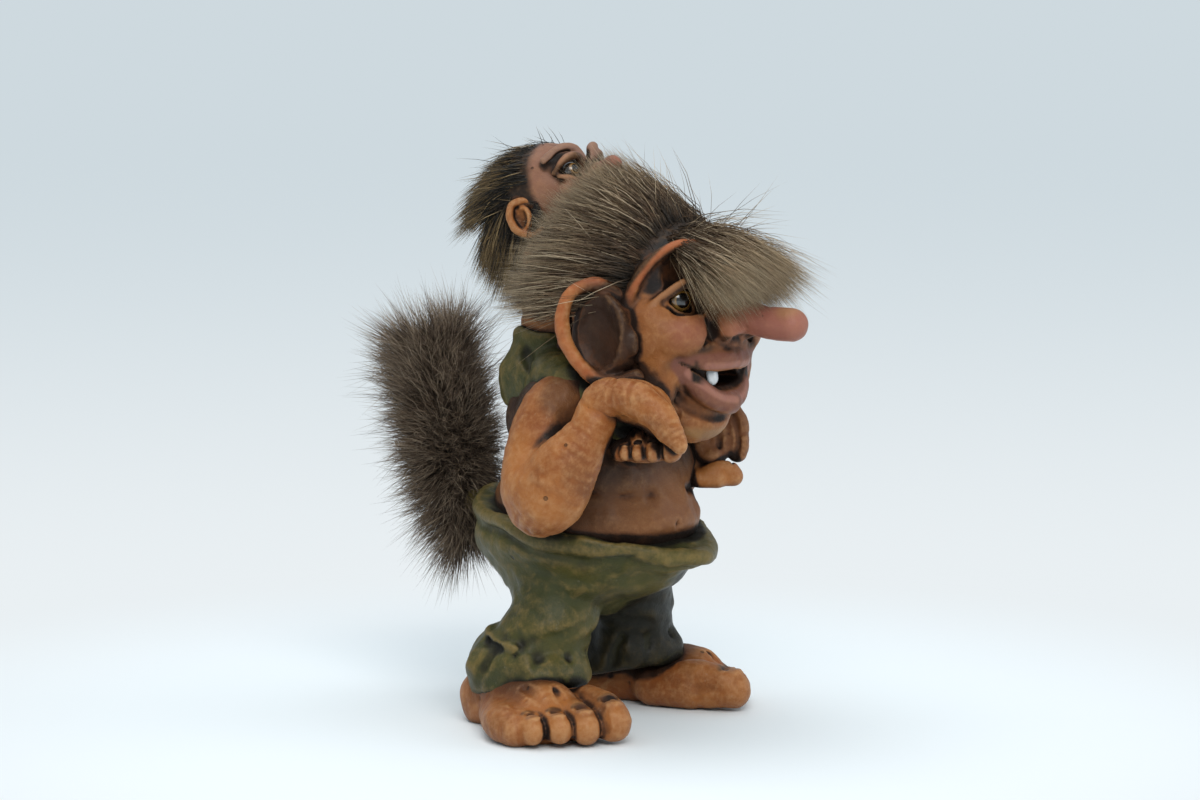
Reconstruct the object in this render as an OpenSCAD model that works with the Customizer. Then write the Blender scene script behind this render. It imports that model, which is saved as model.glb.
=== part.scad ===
// Folk troll figure that carries a small troll child on its shoulders.
// Millimetres, +Z up. The figure stands on Z = 0 and faces -Y, and its right side is -X.
// Each *_form() module is a whole shape. Each node is its form less the forms of the
// pieces that are set into it, so neighbours meet face to face and never overlap.

/* [Feet] */
// Distance between the centres of the heels
heel_gap = 43; // [38:1:50]
// Distance of the heels behind the middle of the figure
heel_back = 10; // [6:1:14]
// Length of a foot from heel to toe tips
foot_l = 59; // [52:1:66]
// Width of a foot across the four toes
foot_w = 36; // [32:1:40]
// Height of a foot at the toes
toe_h = 15; // [12:0.5:17]
// Width of a heel
heel_w = 21; // [18:1:25]
// Angle by which each foot turns out
foot_splay = 24; // [16:1:30]

/* [Trousers] */
// Distance between the centres of the trouser legs
leg_gap = 42; // [38:1:46]
// Width of a leg at the bulge over its hem
leg_w = 33; // [30:1:36]
// Width of a leg at the knee
knee_w = 26; // [23:1:29]
// Height of the lowest edge of the hem
hem_h = 12; // [9:1:15]
// Height of the crotch
crotch_h = 32; // [28:1:35]
// Height of the waistband at its front
waist_h = 51; // [47:1:56]
// Width of the trousers at the waistband
waist_w = 62; // [56:1:68]
// Reach of the waistband in front of the middle
waist_front = 42; // [38:1:46]
// Reach of the seat behind the middle
seat_back = 27; // [23:1:31]
// Angle by which the waistband rises to the back
waist_tilt = 10; // [4:1:14]
// Thickness of the rolled waistband
band_t = 4; // [2.5:0.1:5]

/* [Torso] */
// Height of the shoulders above the waistband
torso_h = 42; // [38:1:48]
// Width of the belly
belly_w = 56; // [50:1:60]
// Width across the shoulders
shoulder_w = 58; // [54:1:64]
// Depth of the chest, front to back
chest_d = 40; // [34:1:44]

/* [Arms] */
// Thickness of the upper arm
arm_w = 18; // [16:0.5:21]
// Thickness of the forearm beside the elbow
forearm_w = 20; // [17:0.5:22]
// Thickness of the wrist
wrist_w = 12; // [10:0.5:14]
// Drop from the shoulder to the elbow
arm_drop = 25; // [22:1:29]
// Rise from the right elbow to its wrist
forearm_rise = 25; // [22:1:28]
// How far the left wrist is below the right one
left_drop = 12; // [8:1:15]

/* [Hands] */
// Thickness of a finger
finger_w = 7; // [5.5:0.5:8.5]
// Length of the curled fingers
finger_l = 15; // [12:1:18]
// Width of the hand across the knuckles
palm_w = 17; // [14:1:20]

/* [Head] */
// Width of the head at the cheeks
head_w = 46; // [42:1:50]
// Depth of the head from the face to the nape
head_d = 44; // [40:1:48]
// Height of the head from chin to crown
head_h = 64; // [60:1:70]
// Length of the nose in front of the face
nose_l = 25; // [18:1:30]
// Thickness of the nose
nose_w = 9.5; // [8:0.5:12]
// Diameter of a glass eye
eye_d = 8.4; // [7:0.2:10]
// Distance between the centres of the eyes
eye_gap = 22; // [19:0.5:25]
// Width of the mouth
mouth_w = 31; // [26:1:35]
// Thickness of the lips
lip_t = 5; // [3.5:0.1:6]
// Width of the single tooth
tooth_w = 3.6; // [2.6:0.1:5]

/* [Ears] */
// Length of an ear from tip to lobe
ear_l = 31; // [26:1:36]
// Width of an ear from its rim to the head
ear_w = 17; // [14:1:20]
// Thickness of the rim of an ear
rim_t = 4.4; // [3:0.1:5.5]

/* [Hair] */
// Thickness of the hair over the crown
hair_t = 14; // [11:1:17]
// Reach of the fringe in front of the hair line
fringe_l = 33; // [27:1:38]

/* [Child] */
// Width of the child's seat
child_seat_w = 34; // [30:1:38]
// Reach of the child's seat behind the middle
child_seat_back = 20; // [17:1:24]
// Thickness of the child's legs
child_leg_w = 14; // [12:1:17]
// Height of the child from its seat to its neck
child_h = 38; // [35:1:42]
// Width of the child's head
child_head_w = 27; // [23:1:30]
// Diameter of a child's eye
child_eye_d = 5; // [4:0.2:6]
// Thickness of the child's hair
child_hair_t = 10; // [7:1:13]
// Width of a child's foot across the toes
child_foot_w = 20; // [17:1:23]

/* [Tail] */
// Length of the fur on the tail
tail_l = 82; // [72:1:92]
// Thickness of the fur on the tail
tail_w = 33; // [29:1:38]
// Diameter of the root of the tail
tail_root_d = 10; // [8:0.5:12]

/* [Hidden] */

skin_colour = [0.74, 0.45, 0.24];
trouser_colour = [0.34, 0.35, 0.17];
fur_colour = [0.42, 0.34, 0.26];
child_fur_colour = [0.20, 0.15, 0.10];

// Space round a glass eye or a peg in its seat
seat_gap = 0.25;
eye_sides = 10;

// The figure stands with the middle of its length over the origin
set_back = 3;

// Middle and half length of the waist, which the belly follows
band_mid = (seat_back - waist_front) / 2;
band_half = (seat_back + waist_front) / 2;

// The head juts forward from the shoulders
shoulder_z = waist_h + torso_h;
chin_z = shoulder_z - 11.5;
crown_z = chin_z + head_h;
nape_y = -9;
face_y = nape_y - head_d;
head_y = nape_y - head_d / 2;
eye_z = chin_z + 0.59 * head_h;
eye_at = [eye_gap / 2, face_y + 9.5, eye_z];
mouth_z = chin_z + 0.27 * head_h;
nose_z = chin_z + 0.5 * head_h;

// Joints of an arm: the right elbow is lifted forward and the left one is held back
function shoulder_at(s) = [s * (shoulder_w / 2 - 2), -4, shoulder_z - 4];
function elbow_at(s) =
  [s * (shoulder_w / 2 + (s < 0 ? 10 : 6)), s < 0 ? -14 : -3, shoulder_z - arm_drop];
function wrist_at(s) =
  elbow_at(s) + [(s < 0 ? 7 : -8), s < 0 ? -21 : -19, forearm_rise - (s > 0 ? left_drop : 0)];
function knuckle_at(s) = wrist_at(s) + [-2.5 * s, -11, 4];
function child_heel_at(s) = knuckle_at(s) + [-13 * s, 8, -13 - finger_w];

// The child sits on the nape, and its head is tipped back behind the hair
seat_z = shoulder_z + 3;
child_seat_y = child_seat_back - 15;
child_neck_z = seat_z + child_h;
child_head_at = [0, child_seat_y + 2, child_neck_z + 13];
child_tip = -18;
child_r = child_head_w / 2;
child_eye_at = [0.43 * child_r, -0.9 * child_r, 0.2 * child_r];

// The tail is rooted in the seat of the trousers
tail_at = [0, seat_back - 6, waist_h - 1];
tail_root_l = 15;

function mix(a, b, t) = a + (b - a) * t;
function unit(v) = v / norm(v);
function total(v, n) = n == 0 ? 0 : v[n - 1] + total(v, n - 1);

// Smooth curve through four values, read between the middle two
function bend(a, b, c, d, t) =
  0.5 * (2 * b + (c - a) * t + (2 * a - 5 * b + 4 * c - d) * t * t
    + (3 * b - a - 3 * c + d) * t * t * t);

// Smooth value of a list of stations at u from 0 to 1
function along(rows, u) =
  let (n = len(rows) - 1, s = min(u * n, n - 0.0001), i = floor(s))
  bend(rows[max(i - 1, 0)], rows[i], rows[i + 1], rows[min(i + 2, n)], s - i);

function place(row) = [row[0], row[1], row[2]];

// Share of the full width near a rounded end of length e
function round_end(u, e) =
  u < e ? sqrt(1 - pow(1 - u / e, 2)) : u > 1 - e ? sqrt(1 - pow(1 - (1 - u) / e, 2)) : 1;

// Ring of a limb at u: an ellipse square to the path, its first half width along the side
function ring(rows, u, sides, ref, e) =
  let (
    row = along(rows, u),
    way = unit(place(along(rows, min(u + 0.01, 1))) - place(along(rows, max(u - 0.01, 0)))),
    side = unit(cross(way, ref)),
    rise = cross(side, way),
    f = round_end(u, e)
  )
  [for (j = [0:sides - 1])
    place(row) + f * (side * row[3] * cos(360 * j / sides) + rise * row[4] * sin(360 * j / sides))];

// Closed limb through stations [x, y, z, half width, half depth] with rounded ends
module limb(rows, rings, sides, ref = [0, 1, 0], e = 0.15) {
  us = [for (k = [1:rings - 1]) (1 - cos(180 * k / rings)) / 2];
  m = len(us);
  points = concat(
    [for (u = us) each ring(rows, u, sides, ref, e)],
    [place(rows[0]), place(rows[len(rows) - 1])]
  );
  faces = concat(
    [for (i = [0:m - 2], j = [0:sides - 1]) let (a = i * sides + j, b = i * sides + (j + 1) % sides)
      each [[a, b, b + sides], [a, b + sides, a + sides]]],
    [for (j = [0:sides - 1]) [m * sides, (j + 1) % sides, j]],
    [for (j = [0:sides - 1]) let (a = (m - 1) * sides) [m * sides + 1, a + j, a + (j + 1) % sides]]
  );
  polyhedron(points, faces);
}

// Round limb through stations [x, y, z, radius]
module roll(rows, rings, sides, ref = [0, 1, 0], e = 0.15) {
  limb([for (r = rows) concat(r, [r[3]])], rings, sides, ref, e);
}

// Ellipsoid at a place with three half widths
module egg(at, r, sides = 12) {
  translate(at) scale(r) sphere(1, $fn = sides);
}

// String of hulls between balls [x, y, z, r], smooth through its stations
module strand(rows, steps, sides = 6) {
  for (k = [0:steps - 1]) {
    a = along(rows, k / steps);
    b = along(rows, (k + 1) / steps);
    hull() {
      egg(place(a), a[3] * [1, 1, 1], sides);
      egg(place(b), b[3] * [1, 1, 1], sides);
    }
  }
}

module side(s) {
  scale_x = s < 0 ? 1 : 0;
  mirror([scale_x, 0, 0]) children();
}

module both() {
  children();
  mirror([1, 0, 0]) children();
}

// Bare left foot with its heel at the origin and its toes towards -Y
toe_share = [0.31, 0.26, 0.225, 0.205];
toe_short = [0, 0.01, 0.04, 0.1];
module bare_foot(l, w, h, heel, rings, sides, nails) {
  reach = l - heel / 2;
  intersection() {
    translate([-l, -l, 0]) cube([2 * l, 2 * l, l]);
    union() {
      limb([
        [0, heel * 0.5, h * 0.4, heel * 0.34, h * 0.4],
        [0, heel * 0.2, h * 0.5, heel * 0.47, h * 0.62],
        [0, -0.2 * reach, h * 0.55, heel * 0.5, h * 0.68],
        [w * 0.02, -0.5 * reach, h * 0.5, w * 0.4, h * 0.56],
        [w * 0.03, -0.72 * reach, h * 0.42, w * 0.46, h * 0.46],
        [w * 0.03, -0.86 * reach, h * 0.36, w * 0.44, h * 0.36]
      ], rings + 2, sides + 4, [0, 0, 1], 0.12);
      for (i = [0:3]) {
        tw = w * toe_share[i];
        x = w * (total(toe_share, i) + toe_share[i] / 2 - 0.47);
        tip = reach * (1 - toe_short[i]);
        th = h * (1 - 0.04 * i);
        limb([
          [x * 0.9, -0.58 * reach, th * 0.45, tw * 0.4, th * 0.4],
          [x * 0.96, -tip + 0.28 * reach, th * 0.58, tw * 0.52, th * 0.42],
          [x, -tip + 0.13 * reach, th * 0.54, tw * 0.54, th * 0.44],
          [x, -tip + 0.02 * reach, th * 0.38, tw * 0.5, th * 0.38]
        ], rings, sides, [0, 0, 1], 0.2);
        // Nail and the crease over the joint
        if (nails) for (y = [0.1, 0.95]) hull() for (k = [-1, 1])
          egg([x + k * tw * 0.14, -tip + tw * y, th * (0.56 + 0.36 * y)], tw * [0.22, 0.2, 0.16], 4);
      }
    }
  }
}

module foot_form(s) {
  side(s) translate([heel_gap / 2, heel_back, 0]) rotate(foot_splay) {
    bare_foot(foot_l, foot_w, toe_h, heel_w, 4, 6, true);
    // Ankle, which goes up into the leg of the trousers
    roll([
      [0, -2, toe_h * 0.5, heel_w * 0.46],
      [0, -7, toe_h * 0.8, heel_w * 0.44],
      [0, -10, hem_h + 9, heel_w * 0.36]
    ], 4, 8);
  }
}

// Space over the waistband, which rises to the back
module above_band(lift = 0) {
  translate([0, -waist_front, waist_h + lift]) rotate([waist_tilt, 0, 0])
    translate([-100, -60, 0]) cube([200, 260, 100]);
}

// Waist of the trousers, grown outwards by the roll of the band
module waist_form(grow) {
  low = mix(crotch_h, waist_h, 0.6);
  limb([
    [0, -4, crotch_h - 4, knee_w * 0.7 + grow, 11 + grow],
    [0, -4, crotch_h + 4, waist_w * 0.4 + grow, 17 + grow],
    [0, band_mid + 2, low, waist_w * 0.46 + grow, band_half * 0.82 + grow],
    [0, band_mid, waist_h - 1, waist_w * 0.5 + grow, band_half + grow],
    [0, band_mid + 1, waist_h + 7, waist_w * 0.49 + grow, band_half + grow],
    [0, band_mid + 4, waist_h + 16, waist_w * 0.45 + grow, band_half * 0.9 + grow],
    [0, band_mid + 5, waist_h + 22, waist_w * 0.4 + grow, band_half * 0.8 + grow]
  ], 8, 16, [0, -1, 0], 0.07);
}

module trousers_form() {
  difference() {
    union() {
      waist_form(0);
      // Rolled waistband
      intersection() {
        waist_form(1.2);
        above_band(-band_t);
      }
    }
    above_band();
  }
  both() {
    limb([
      [leg_gap / 2 + 1, -1, hem_h - 1, leg_w * 0.42, leg_w * 0.42],
      [leg_gap / 2 + 1, -1, hem_h + 5, leg_w * 0.5, leg_w * 0.49],
      [leg_gap / 2 - 1, -3, hem_h + 15, knee_w * 0.52, knee_w * 0.47],
      [leg_gap / 2 - 4, -5, crotch_h + 4, knee_w * 0.54, knee_w * 0.6],
      [leg_gap / 2 - 8, -5, crotch_h + 12, knee_w * 0.5, knee_w * 0.7]
    ], 8, 11, [0, -1, 0], 0.12);
    // Folds where the leg gathers behind the knee
    for (k = [0:1]) {
      a = 40 + 26 * k;
      strand([
        for (t = [-1:1]) [
          leg_gap / 2 - 1 + (knee_w * 0.48) * cos(a + 34 * t),
          -3 + (knee_w * 0.46) * sin(a + 34 * t),
          hem_h + 12 + 8 * k - 4 * t,
          2
        ]
      ], 2, 4);
    }
  }
}

module torso_form() {
  limb([
    [0, band_mid + 1, waist_h - 11, belly_w * 0.34, 17],
    [0, band_mid, waist_h - 4, belly_w * 0.44, band_half - 10],
    [0, band_mid - 1, waist_h + 6, belly_w * 0.5, band_half - 5],
    [0, band_mid + 1, waist_h + 15, belly_w * 0.47, band_half - 9],
    [0, -7, waist_h + 25, belly_w * 0.44, chest_d * 0.56],
    [0, -7, shoulder_z - 9, shoulder_w * 0.46, chest_d * 0.5],
    [0, -7, shoulder_z, shoulder_w * 0.42, chest_d * 0.42],
    [0, -6, shoulder_z + 7, shoulder_w * 0.3, chest_d * 0.36]
  ], 10, 18, [0, -1, 0], 0.08);
  // Sagging chest and the fold under it
  both() strand([
    [3, -6 - chest_d * 0.5, waist_h + 15, 4],
    [12, -4 - chest_d * 0.5, waist_h + 19, 5.5],
    [20, -4 - chest_d * 0.36, waist_h + 27, 5]
  ], 3, 6);
}

module arm_form(s) {
  a = shoulder_at(s);
  b = elbow_at(s);
  c = wrist_at(s);
  limb([
    concat(a + [-4 * s, 0, 3], arm_w * [0.4, 0.4]),
    concat(a + [2 * s, 1, -2], arm_w * [0.5, 0.52]),
    concat(mix(a, b, 0.55) + [2 * s, 3, 0], arm_w * [0.46, 0.5]),
    concat(b + [1 * s, 3, 2], arm_w * [0.48, 0.5]),
    concat(b + [0, 1, -5], arm_w * [0.36, 0.4])
  ], 7, 10, [1, 0, 0], 0.16);
  roll([
    concat(b + [0, 0, -9], [forearm_w * 0.4]),
    concat(b + [0, -2, -3], [forearm_w * 0.52]),
    concat(mix(b, c, 0.35) + [s, -1, 0], [forearm_w * 0.46]),
    concat(mix(b, c, 0.72) + [0, 1, 0], [mix(forearm_w, wrist_w, 0.75) * 0.5]),
    concat(c + [0, 0, 1], [wrist_w * 0.5]),
    concat(c + [-s, -3, 3], [wrist_w * 0.48])
  ], 8, 10, [1, 0, 0], 0.12);
}

// Hand bent over the child's foot: a palm and three fingers that curl down
module hand_form(s) {
  a = wrist_at(s);
  b = knuckle_at(s);
  roll([
    concat(a + [0, 2, -1], [wrist_w * 0.46]),
    concat(mix(a, b, 0.5) + [0, 0, 2], [wrist_w * 0.5]),
    concat(b + [0, -1, -1], [finger_w * 0.7])
  ], 5, 7, [1, 0, 0]);
  for (i = [0:2]) {
    x = s * (1 - i) * palm_w * 0.36;
    roll([
      concat(mix(a, b, 0.4) + [x * 0.5, 0, 2], [finger_w * 0.55]),
      concat(b + [x, 1, 1 - i * 0.4], [finger_w * 0.56]),
      concat(b + [x - s, -0.36 * finger_l, -0.3 * finger_l], [finger_w * 0.5]),
      concat(b + [x - 2 * s, -0.46 * finger_l, -0.85 * finger_l], [finger_w * 0.4])
    ], 6, 6, [1, 0, 0], 0.14);
    // Nail
    tip = b + [x - 2 * s, -0.46 * finger_l - finger_w * 0.32, -0.76 * finger_l];
    hull() {
      egg(tip + [0, 0, 1.6], [1.5, 0.9, 0.9], 4);
      egg(tip - [0, 0, 1.4], [1.6, 0.9, 0.9], 4);
    }
  }
}

// Foot of the child with its toes turned out, held under the hand
module child_foot_form(s) {
  translate(child_heel_at(s)) side(s) rotate(58)
    bare_foot(child_foot_w * 1.2, child_foot_w, child_foot_w * 0.42, child_foot_w * 0.5, 4, 5, false);
}

module nose_form() {
  roll([
    [0, face_y + 14, nose_z + 3, nose_w * 0.7],
    [0, face_y + 5, nose_z + 3, nose_w * 0.7],
    [0, face_y - nose_l * 0.15, nose_z + 1, nose_w * 0.54],
    [0, face_y - nose_l * 0.6, nose_z - 0.5, nose_w * 0.46],
    [0, face_y - nose_l, nose_z - 0.5, nose_w * 0.5]
  ], 8, 8, [0, 0, 1], 0.1);
  both() egg([nose_w * 0.5, face_y + 2, nose_z - 1], nose_w * [0.38, 0.5, 0.38], 6);
}

// Half of the mouth, from its middle out to the corner
function mouth_row(z, out, r) = [
  [-1, face_y - 0.5 + out, mouth_z + z, r],
  [mouth_w * 0.28, face_y + 2.5 + out, mouth_z + z + (z < 0 ? 1.5 : 0.3), r],
  [mouth_w * 0.48, face_y + 8.5, mouth_z + 4, r * 0.6]
];

module head_form() {
  difference() {
    union() {
      limb([
        [0, head_y - 11, chin_z + 1, head_w * 0.16, head_d * 0.13],
        [0, head_y - 9, chin_z + 0.09 * head_h, head_w * 0.31, head_d * 0.31],
        [0, head_y - 3, chin_z + 0.24 * head_h, head_w * 0.41, head_d * 0.42],
        [0, head_y, chin_z + 0.42 * head_h, head_w * 0.48, head_d * 0.48],
        [0, head_y + 1, chin_z + 0.58 * head_h, head_w * 0.48, head_d * 0.46],
        [0, head_y + 2, chin_z + 0.76 * head_h, head_w * 0.47, head_d * 0.46],
        [0, head_y + 6, chin_z + 0.88 * head_h, head_w * 0.36, head_d * 0.32],
        [0, head_y + 10, crown_z - 4, head_w * 0.2, head_d * 0.18]
      ], 10, 14, [0, -1, 0], 0.06);
      // Cheeks, brow arches and lips
      both() {
        egg([head_w * 0.3, face_y + 11, nose_z - 4], [8, 7, 8], 7);
        roll([
          [4, face_y + 7, eye_z + 3, 2.6],
          [eye_gap * 0.36, face_y + 5, eye_z + 12, 2.2],
          [eye_gap * 0.62, face_y + 7.5, eye_z + 15, 2.2],
          [head_w * 0.42, face_y + 13.5, eye_z + 8, 2.4],
          [head_w * 0.45, face_y + 16, eye_z - 3, 2.4]
        ], 5, 5, [0, 1, 0]);
        roll(mouth_row(lip_t * 0.75, 1.5, lip_t * 0.5), 4, 5, [0, 0, 1]);
        roll(mouth_row(-lip_t, 2, lip_t * 0.52), 4, 5, [0, 0, 1]);
      }
      egg([0, face_y + 9.5, chin_z + 6], [9, 8, 6.5], 7);
      nose_form();
    }
    both() {
      // Eye hollow that runs up under the brow
      hull() {
        egg(eye_at + [1, -2.5, 1], [6.6, 4.5, 5], 6);
        egg(eye_at + [1, -2.5, 9], [5.4, 4, 4], 6);
      }
      translate(eye_at) sphere(eye_d / 2 + seat_gap, $fn = eye_sides);
      roll(mouth_row(-lip_t * 0.15, 2, lip_t * 0.44), 4, 5, [0, 0, 1]);
    }
  }
  // Eyelids that hold the glass eyes
  difference() {
    both() for (k = [1, -1]) strand([
      [eye_gap * 0.5 - 6, face_y + 7.5, eye_z, 1.5],
      [eye_gap * 0.5, face_y + 5.2, eye_z + 4 * k, 1.6],
      [eye_gap * 0.5 + 7, face_y + 10, eye_z, 1.5]
    ], 2, 4);
    both() translate(eye_at) sphere(eye_d / 2 + seat_gap, $fn = eye_sides);
  }
}

module tooth_form() {
  hull() {
    egg([-2, face_y + 5, mouth_z + lip_t * 0.6], [tooth_w * 0.5, 1.6, 1.5], 8);
    egg([-2, face_y + 3, mouth_z - lip_t * 0.1], [tooth_w * 0.42, 1.3, 1.2], 8);
  }
}

// Long ear: a rim that curls from the tip down to the lobe, and a dished wall inside it
ear_top = [head_w * 0.5 + 6, face_y + 27, nose_z + 9];
module ear_form(s) {
  rim = [
    ear_top + [-7, -6, -3],
    ear_top + [-2, -1, 1],
    ear_top + [2, ear_w * 0.25, -ear_l * 0.2],
    ear_top + [2, ear_w * 0.12, -ear_l * 0.5],
    ear_top + [0, -ear_w * 0.3, -ear_l * 0.85],
    ear_top + [-3, -ear_w * 0.8, -ear_l * 0.92]
  ];
  side(s) {
    roll([for (p = rim) concat(p, [rim_t * 0.5])], 7, 5, [1, 0, 0], 0.08);
    hull() {
      for (k = [1:4]) egg(rim[k] + [-3, -1, 0], [1.5, 1.5, 2], 4);
      egg(ear_top + [-7, -ear_w * 0.6, -ear_l * 0.4], [2, 3, 8], 5);
    }
    strand([
      concat(ear_top + [-2, -ear_w * 0.2, -4], [1.4]),
      concat(ear_top + [-1, -ear_w * 0.2, -ear_l * 0.45], [1.5]),
      concat(ear_top + [-2, -ear_w * 0.5, -ear_l * 0.75], [1.4])
    ], 2, 4);
  }
}

// Tapered lock of fur through three places
module lock(a, b, c, r, rings = 4) {
  roll([concat(a, [r * 0.9]), concat(b, [r]), concat(c, [r * 0.3])], rings, 5, [1, 0.2, 0.1], 0.1);
}

// Fur cap: a swept dome, a fringe that juts forward and locks that sweep back over the ears
module hair_dome() {
  hull() {
    egg([0, head_y - 4, crown_z - 11], [head_w * 0.52, head_d * 0.44, 12], 8);
    egg([0, head_y + 12, crown_z - 8], [head_w * 0.51, head_d * 0.4, hair_t + 6], 8);
    egg([0, face_y + 13, crown_z - 17], [head_w * 0.44, 9, 9], 8);
  }
}

module hair_form() {
  hair_dome();
  for (k = [-2:2]) lock(
    [k * 7, head_y - 10, crown_z - 9],
    [k * 7, face_y - 1 + abs(k), crown_z - 15 - abs(k)],
    [k * 5, face_y + 10 - fringe_l + 4 * abs(k), crown_z - 25 - abs(k)],
    7
  );
  both() for (k = [0:2]) lock(
    [head_w * 0.4, head_y - 2 + 9 * k, crown_z - 12],
    [head_w * 0.56, head_y + 4 + 10 * k, crown_z - 20],
    [head_w * 0.58, head_y + 13 + 11 * k, crown_z - 27],
    8
  );
}

module child_trousers_form() {
  limb([
    [0, child_seat_y + 1, seat_z - 14, child_seat_w * 0.32, 9],
    [0, child_seat_y, seat_z - 5, child_seat_w * 0.49, 14],
    [0, child_seat_y, seat_z + 4, child_seat_w * 0.5, 15],
    [0, child_seat_y - 1, seat_z + 11, child_seat_w * 0.42, 12.5],
    [0, child_seat_y - 1, seat_z + 14, child_seat_w * 0.36, 11]
  ], 7, 11, [0, -1, 0], 0.12);
  for (s = [-1, 1]) roll([
    [s * child_seat_w * 0.3, child_seat_y - 3, seat_z - 2, child_leg_w * 0.5],
    [s * shoulder_w * 0.4, -13, shoulder_z + 3, child_leg_w * 0.48],
    concat(mix([s * shoulder_w * 0.4, -20, shoulder_z], child_heel_at(s), 0.45), [child_leg_w * 0.42]),
    concat(child_heel_at(s) + [0, 2, 6], [child_leg_w * 0.34])
  ], 5, 7, [1, 0, 0]);
}

module child_torso_form() {
  limb([
    [0, child_seat_y - 1, seat_z + 6, child_seat_w * 0.3, 9],
    [0, child_seat_y - 1, seat_z + 14, child_seat_w * 0.35, 11],
    [0, child_seat_y, seat_z + 24, child_seat_w * 0.36, 10.5],
    [0, child_seat_y, child_neck_z - 3, child_seat_w * 0.3, 8.5],
    [0, child_seat_y, child_neck_z + 5, 6, 6]
  ], 7, 10, [0, -1, 0], 0.1);
  // Arms that reach down and forward into the hair
  both() roll([
    [child_seat_w * 0.3, child_seat_y - 1, child_neck_z - 6, 4.4],
    [child_seat_w * 0.42, child_seat_y - 9, child_neck_z - 12, 3.8],
    [child_seat_w * 0.34, child_seat_y - 18, child_neck_z - 14, 3.4]
  ], 4, 5, [1, 0, 0]);
}

// The child's head stands at the origin here, and tilt() puts it in its place
module tilt() {
  translate(child_head_at) rotate([child_tip, 0, 0]) children();
}

module child_head_form() {
  r = child_r;
  tilt() difference() {
    union() {
      egg([0, 0, 0], [r, r * 1.08, r * 1.05], 12);
      egg([0, -r * 0.72, -r * 0.52], [r * 0.62, r * 0.5, r * 0.42], 8);
      roll([
        [0, -r * 0.8, r * 0.05, 3],
        [0, -r * 1.3, r * 0.05, 2.2],
        [0, -r * 1.75, r * 0.1, 2.4]
      ], 5, 6, [0, 0, 1]);
      both() {
        strand([
          concat(child_eye_at + [-3.4, -1, 3], [1.5]),
          concat(child_eye_at + [1, 0.5, 5], [1.6]),
          concat(child_eye_at + [6, 4, 2], [1.5])
        ], 4, 5);
        egg([r * 0.5, -r * 0.74, -r * 0.25], [3.6, 3.2, 3.2], 6);
      }
    }
    both() translate(child_eye_at) sphere(child_eye_d / 2 + seat_gap, $fn = eye_sides);
  }
}

module child_ear_form(s) {
  a = [child_r, 1, -2];
  tilt() side(s) {
    hull() {
      egg(a + [0, -1, -5], [2, 2.2, 2.2], 5);
      egg(a + [3.5, 3, 3], [1.3, 2.6, 3.4], 5);
      egg(a + [-2, 0, 0], [2, 2, 3], 5);
    }
    roll([
      concat(a + [0, -3, -6], [1.2]),
      concat(a + [3, -1.5, -3], [1.3]),
      concat(a + [5, 2, 4], [1.4]),
      concat(a + [3, 5, 7], [1.2]),
      concat(a + [0, 4, 5], [1.2])
    ], 6, 4, [1, 0, 0]);
  }
}

// Two tiers of fur that fall to the back of the child's head
module child_hair_form() {
  r = child_r;
  out = r + child_hair_t;
  tilt() egg([0, 6.5, 1], [r, r, r] + child_hair_t * [0.5, 0.45, 0.25], 8);
  for (tier = [0, 1], k = [-2:2]) {
    a = 36 * k;
    y = child_head_at[1] - 1;
    z = child_head_at[2] + 5 - 13 * tier;
    lock(
      [sin(a) * r * 0.6, y + cos(a) * r * 0.6, z + 3],
      [sin(a) * out * 0.86, y + cos(a) * out * 0.86, z - 6],
      [sin(a) * out, y + cos(a) * out, z - 16],
      8.5, 3
    );
  }
}

module tail_root_form(grow = 0) {
  d = tail_root_d + 2 * grow;
  translate(tail_at) rotate([-62, 0, 0]) {
    cylinder(h = tail_root_l, d = d, $fn = 24);
    translate([0, 0, tail_root_l]) sphere(d = d, $fn = 24);
  }
}

// Brush of fur round the root, leaning back as it rises
module tail_fur_form() {
  mid = tail_at + [0, 20, 32];
  limb([
    concat(mid + [0, -9, -tail_l * 0.48], tail_w * [0.28, 0.2]),
    concat(mid + [0, -5, -tail_l * 0.24], tail_w * [0.46, 0.42]),
    concat(mid, tail_w * [0.5, 0.5]),
    concat(mid + [0, 14, tail_l * 0.24], tail_w * [0.42, 0.42]),
    concat(mid + [0, 21, tail_l * 0.44], tail_w * [0.22, 0.2])
  ], 6, 10, [0, -1, 0], 0.2);
  for (k = [0:2]) {
    a = 120 * k + 30;
    lock(
      mid + [cos(a) * tail_w * 0.24, 8 + sin(a) * tail_w * 0.24, tail_l * 0.2],
      mid + [cos(a) * tail_w * 0.34, 16 + sin(a) * tail_w * 0.34, tail_l * 0.34],
      mid + [cos(a) * tail_w * 0.33, 23 + sin(a) * tail_w * 0.33, tail_l * 0.48],
      6
    );
  }
}

module trousers() {
  color(trouser_colour) difference() {
    trousers_form();
    torso_form();
    for (s = [-1, 1]) foot_form(s);
    for (s = [-1, 1]) arm_form(s);
    tail_root_form(seat_gap);
  }
}

module torso() {
  color(skin_colour) difference() {
    torso_form();
    head_form();
    for (s = [-1, 1]) hand_form(s);
    for (s = [-1, 1]) child_foot_form(s);
    tail_root_form(seat_gap);
  }
}

module foot(s) {
  color(skin_colour) foot_form(s);
}

module arm(s) {
  color(skin_colour) difference() {
    arm_form(s);
    torso_form();
    hand_form(s);
    child_foot_form(s);
  }
}

module hand(s) {
  color(skin_colour) difference() {
    hand_form(s);
    head_form();
    child_foot_form(s);
  }
}

module head() {
  color(skin_colour) difference() {
    head_form();
    tooth_form();
  }
}

module ear(s) {
  color(skin_colour) difference() {
    ear_form(s);
    head_form();
    hand_form(s);
    arm_form(s);
  }
}

module eye(s) {
  color("black") side(s) translate(eye_at) sphere(d = eye_d, $fn = 32);
}

module tooth() {
  color("ivory") tooth_form();
}

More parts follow.
